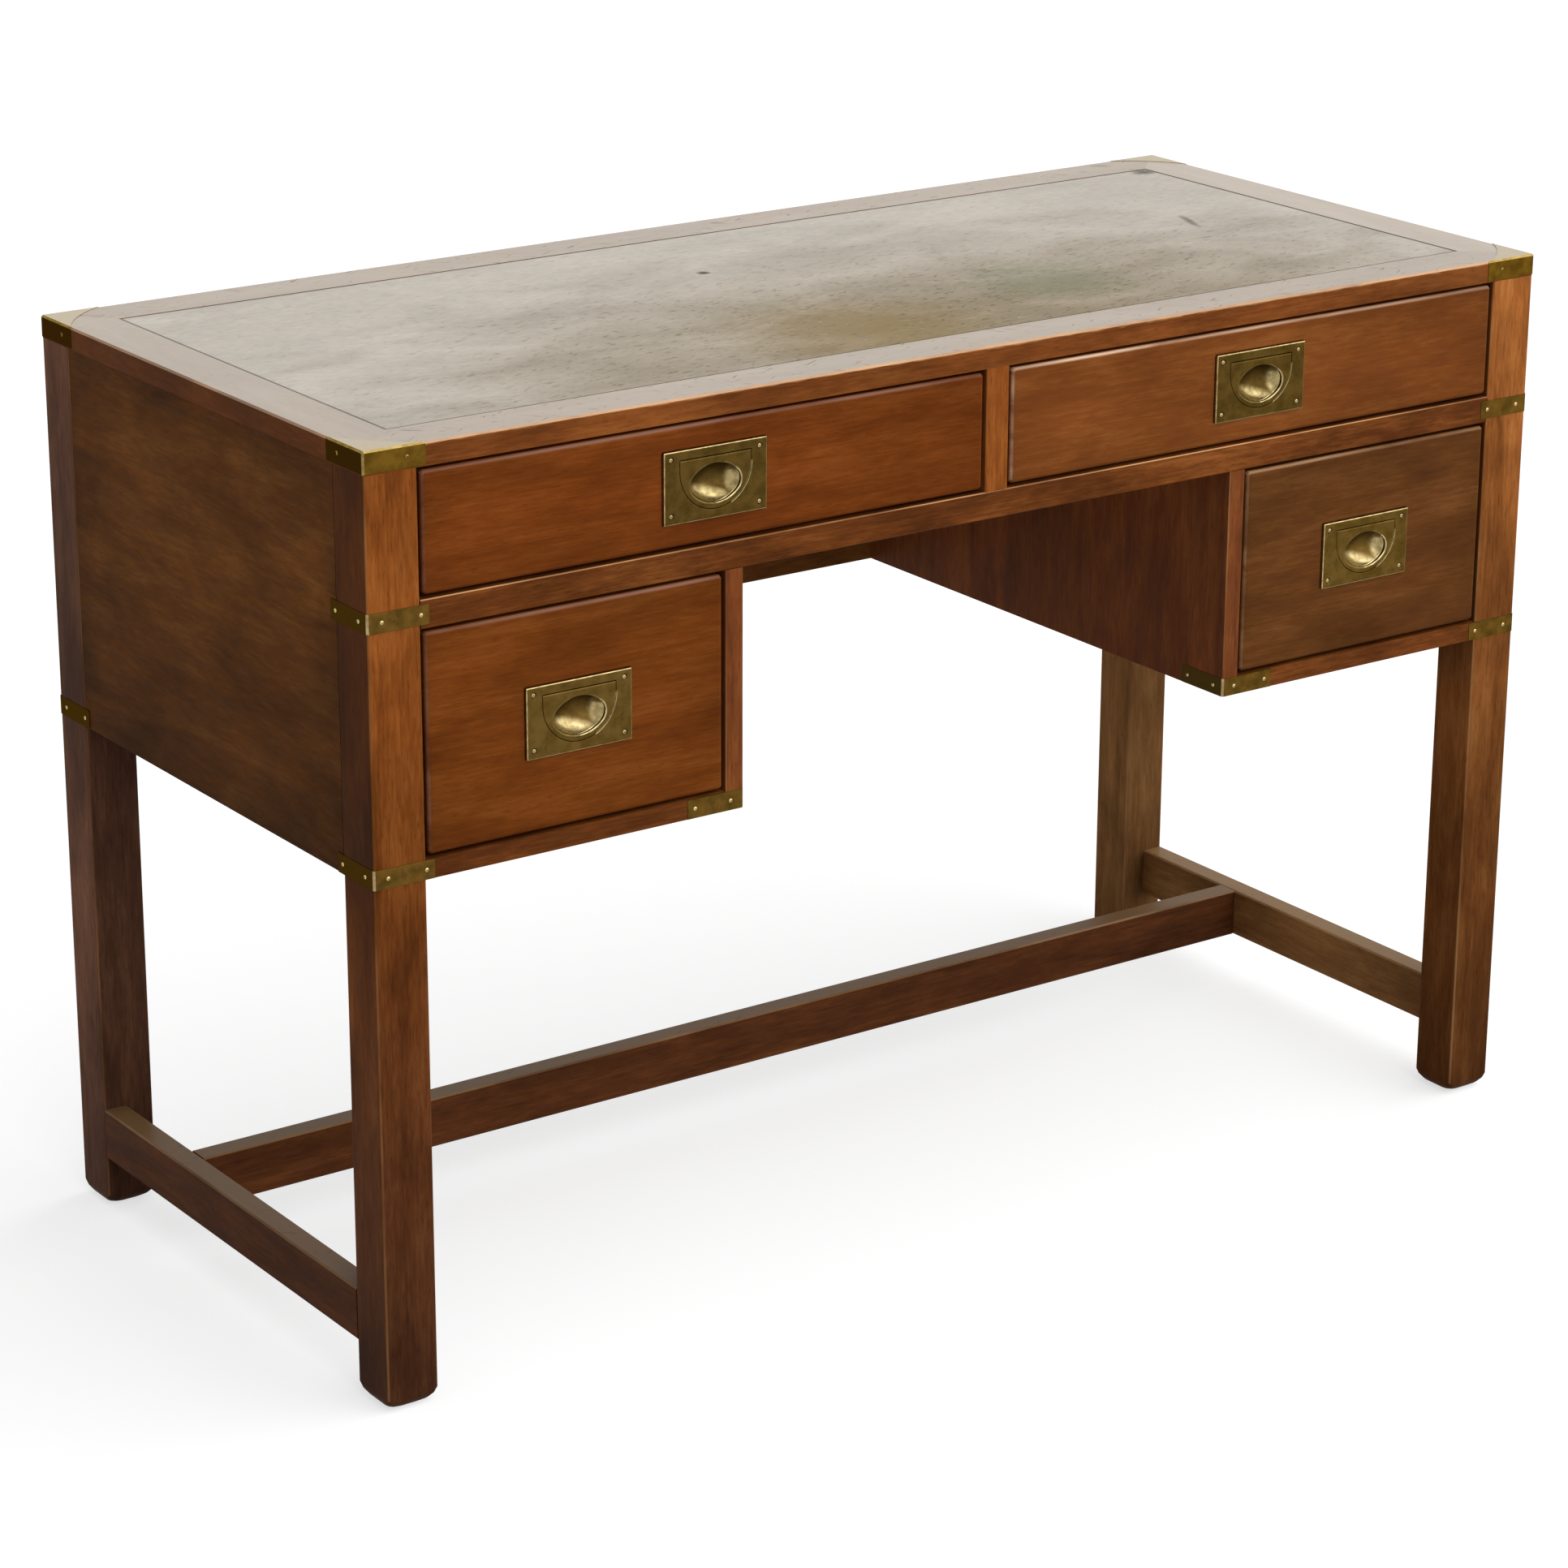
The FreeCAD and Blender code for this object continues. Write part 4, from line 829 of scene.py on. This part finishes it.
# %% A tree that puts heads on points
def heads_tree(name, slotted):
    """Geometry Nodes tree that sets a domed head on every point, looking along the point's own direction."""
    tree, given = new_tree(name, Radius="Float", Height="Float", Slot="Float", Seed="Int", Material="Material")

    ball = add(tree, "GeometryNodeMeshUVSphere", {"Segments": 20, "Rings": 10, "Radius": given["Radius"]})
    flat = add(tree, MATH, {0: given["Height"], 1: given["Radius"]}, operation="DIVIDE")
    shape = add(tree, "ShaderNodeCombineXYZ", {0: 1.0, 1: 1.0, 2: flat})
    head = add(tree, "GeometryNodeTransform", {"Geometry": ball, "Scale": shape})
    out = add(tree, "GeometryNodeInputNamedAttribute", {"Name": "out"}, data_type="FLOAT_VECTOR")
    turned = add(tree, "FunctionNodeAlignRotationToVector", {"Vector": out}, axis="Z")
    if slotted:
        long = add(tree, MATH, {0: given["Radius"], 1: 3.0}, operation="MULTIPLY")
        bar = add(tree, "ShaderNodeCombineXYZ", {0: long, 1: given["Slot"], 2: given["Height"]})
        bar = add(tree, "GeometryNodeMeshCube", {"Size": bar})
        lift = add(tree, "ShaderNodeCombineXYZ", {2: given["Height"]})
        bar = add(tree, "GeometryNodeTransform", {"Geometry": bar, "Translation": lift})
        head = add(tree, "GeometryNodeMeshBoolean", {"Mesh 1": head, "Mesh 2": bar}, operation="DIFFERENCE")
        angle = add(tree, "FunctionNodeRandomValue", {2: 0.0, 3: math.pi, "Seed": given["Seed"]}, out=1)
        angle = add(tree, "ShaderNodeCombineXYZ", {2: angle})
        turned = add(tree, "FunctionNodeRotateRotation", {0: turned, 1: angle}, rotation_space="LOCAL")
    placed = add(tree, "GeometryNodeInstanceOnPoints",
                 {"Points": given["Geometry"], "Instance": head, "Rotation": turned})
    real = add(tree, "GeometryNodeRealizeInstances", {"Geometry": placed})
    smooth = add(tree, "GeometryNodeSetShadeSmooth", {"Geometry": real})
    finished = add(tree, "GeometryNodeSetMaterial", {"Geometry": smooth, "Material": given["Material"]})
    tree.links.new(finished, tree.nodes.new("NodeGroupOutput").inputs[0])
    return tree


def set_heads(name, tree, spots, **sizes):
    """Plain mesh with a head on each spot, a spot being a point and the way out."""
    mesh = bpy.data.meshes.new(name)
    mesh.from_pydata([point for point, out in spots], [], [])
    ways = mesh.attributes.new("out", "FLOAT_VECTOR", "POINT")
    ways.data.foreach_set("vector", [c for point, out in spots for c in out])
    piece = in_scene(name, mesh)
    put_tree(piece, tree, **sizes)
    plain_mesh(piece)
    # The ball started without a material, which left an empty first slot.
    piece.data.materials.clear()
    piece.data.materials.append(sizes["Material"])
    return piece


# %% [markdown]
# The pins' places are read from their CAD solids: each loose part of that mesh is one pin, its thinnest side is the
# direction it looks in, and its crown is the narrower end. The caps' pins were filed flush and waxed over, so they
# take the caps' own brass.

# %% Pins on the corner brasses
def pin_spots(node):
    """Foot and direction of every pin in a CAD group of pins."""
    solids = bmesh.new()
    solids.from_mesh(boards[node].data)
    bmesh.ops.remove_doubles(solids, verts=solids.verts, dist=0.01 * MM)
    left, spots = set(solids.verts), []
    while left:
        pin, edge_of_pin = set(), [left.pop()]
        while edge_of_pin:
            vertex = edge_of_pin.pop()
            pin.add(vertex)
            edge_of_pin += [e.other_vert(vertex) for e in vertex.link_edges if e.other_vert(vertex) not in pin]
        left -= pin
        points = [vertex.co.copy() for vertex in pin]
        low, high = (Vector([pick(p[i] for p in points) for i in range(3)]) for pick in (min, max))
        middle, axis = (low + high) / 2, min(range(3), key=lambda i: high[i] - low[i])
        widest = max(points, key=lambda p: (p - middle).length)
        out = Vector((0, 0, 0))
        out[axis] = 1 if widest[axis] < middle[axis] else -1
        middle[axis] = widest[axis]
        spots.append((middle, out))
    solids.free()
    return spots


PIN = {"Radius": 1.7 * MM, "Height": 0.8 * MM}
spots = pin_spots("brass_pins")
pins = set_heads("pin_heads", heads_tree("domed pin heads", slotted=False), spots, **PIN, Material=pin_brass)
pins.data.materials.append(cap_brass)
caps_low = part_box("corner_caps")[0].z
for face in pins.data.polygons:
    if face.center.z > caps_low:
        face.material_index = 1
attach(pins, "desk")
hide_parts("brass_pins")
print(len(spots), "pins,", len(pins.data.polygons), "faces of", [brass.name for brass in pins.data.materials])

# %% Screws in the handles
SCREW, SCREW_SUNK = {"Radius": 1.9 * MM, "Height": 0.85 * MM, "Slot": 0.65 * MM}, 0.9 * MM
screw_heads = heads_tree("slotted screw heads", slotted=True)
for number, drawer in enumerate(DRAWERS):
    spots = [(spot + Vector((0, SCREW_SUNK, 0)), Vector((0, -1, 0))) for spot in screw_spots[drawer]]
    screws = set_heads(f"{drawer}_screws", screw_heads, spots, **SCREW, Seed=number, Material=screw_brass)
    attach(screws, f"{drawer}_drawer")
    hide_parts(f"{drawer}_handle_screws")
    print(drawer, len(spots), "screws,", len(screws.data.polygons), "faces")

# %% [markdown]
# ## Floor, light and camera
# The desk stands on white paper. Lit by the lamp alone, white paper would throw so much light back that the dark side
# of the desk would look grey. So the floor has two looks, picked by the kind of ray: to the eye and in reflections it
# is white and keeps a soft shadow, and as a source of bounced light it is a middle grey. The world is made in the same
# way: white to look at, and dimmer as a light. One large soft lamp at the front right does the modelling.

# %% Floor
floor_mesh = bpy.data.meshes.new("floor")
reach = 30.0
corners = [(-reach, -reach, 0), (reach, -reach, 0), (reach, reach, 0), (-reach, reach, 0)]
floor_mesh.from_pydata(corners, [], [(0, 1, 2, 3)])
floor = in_scene("floor", floor_mesh)


def looked_at(tree):
    """1 for rays from the camera or by way of a reflection or glass, 0 for bounced light."""
    rays = add(tree, "ShaderNodeLightPath", {}, out=None)
    seen = add(tree, MATH, {0: rays["Is Camera Ray"], 1: rays["Is Glossy Ray"]}, operation="MAXIMUM")
    return add(tree, MATH, {0: seen, 1: rays["Is Transmission Ray"]}, operation="MAXIMUM")


WHITE = linear("#ffffff")
paper, tree, shader, place = new_finish("paper, matt white")
seen = looked_at(tree)
glow = add(tree, MIX, {FACTOR: seen, LOW: 0.0, HIGH: 0.64})
fill(tree, shader, {"Emission Strength": glow, "Emission Color": WHITE})
fill(tree, shader, {"Base Color": linear("#adadad"), "Roughness": 1.0, "Specular IOR Level": 0.0})
floor_mesh.materials.append(paper)
print("floor of", 2 * reach, "m")

# %% World and lamp
world = bpy.data.worlds.new("studio")
world.use_nodes = True
bpy.context.scene.world = world
background = world.node_tree.nodes["Background"]
strength = add(world.node_tree, MIX, {FACTOR: looked_at(world.node_tree), LOW: 0.4, HIGH: 1.0})
fill(world.node_tree, background, {"Strength": strength, "Color": WHITE})

lamp_data = bpy.data.lights.new("softbox", "SUN")
lamp_data.energy = 4.2
lamp_data.angle = math.radians(120)
lamp = in_scene("softbox", lamp_data)
lamp.rotation_euler = Vector((-0.62, 0.62, -0.48)).to_track_quat("-Z", "Y").to_euler()
bpy.context.scene.view_settings.view_transform = "Standard"
print("lamp of", lamp_data.energy, "W per square metre")

# %% Camera
eye = Vector((-2.1445, -3.0083, 1.6133))
forward = Vector((0.5440, 0.7719, -0.3289)).normalized()
camera_data = bpy.data.cameras.new("camera")
camera_data.sensor_width = 36.0
camera_data.lens = 105.3
camera_data.clip_end = 100.0
camera = in_scene("camera", camera_data)
camera.location = eye
roll = Quaternion((0, 0, 1), math.radians(0.23))
camera.rotation_euler = (forward.to_track_quat("-Z", "Y") @ roll).to_euler()
bpy.context.scene.camera = camera
print("camera", round((eye - Vector((0, 0, 0.38))).length, 2), "m from the desk")
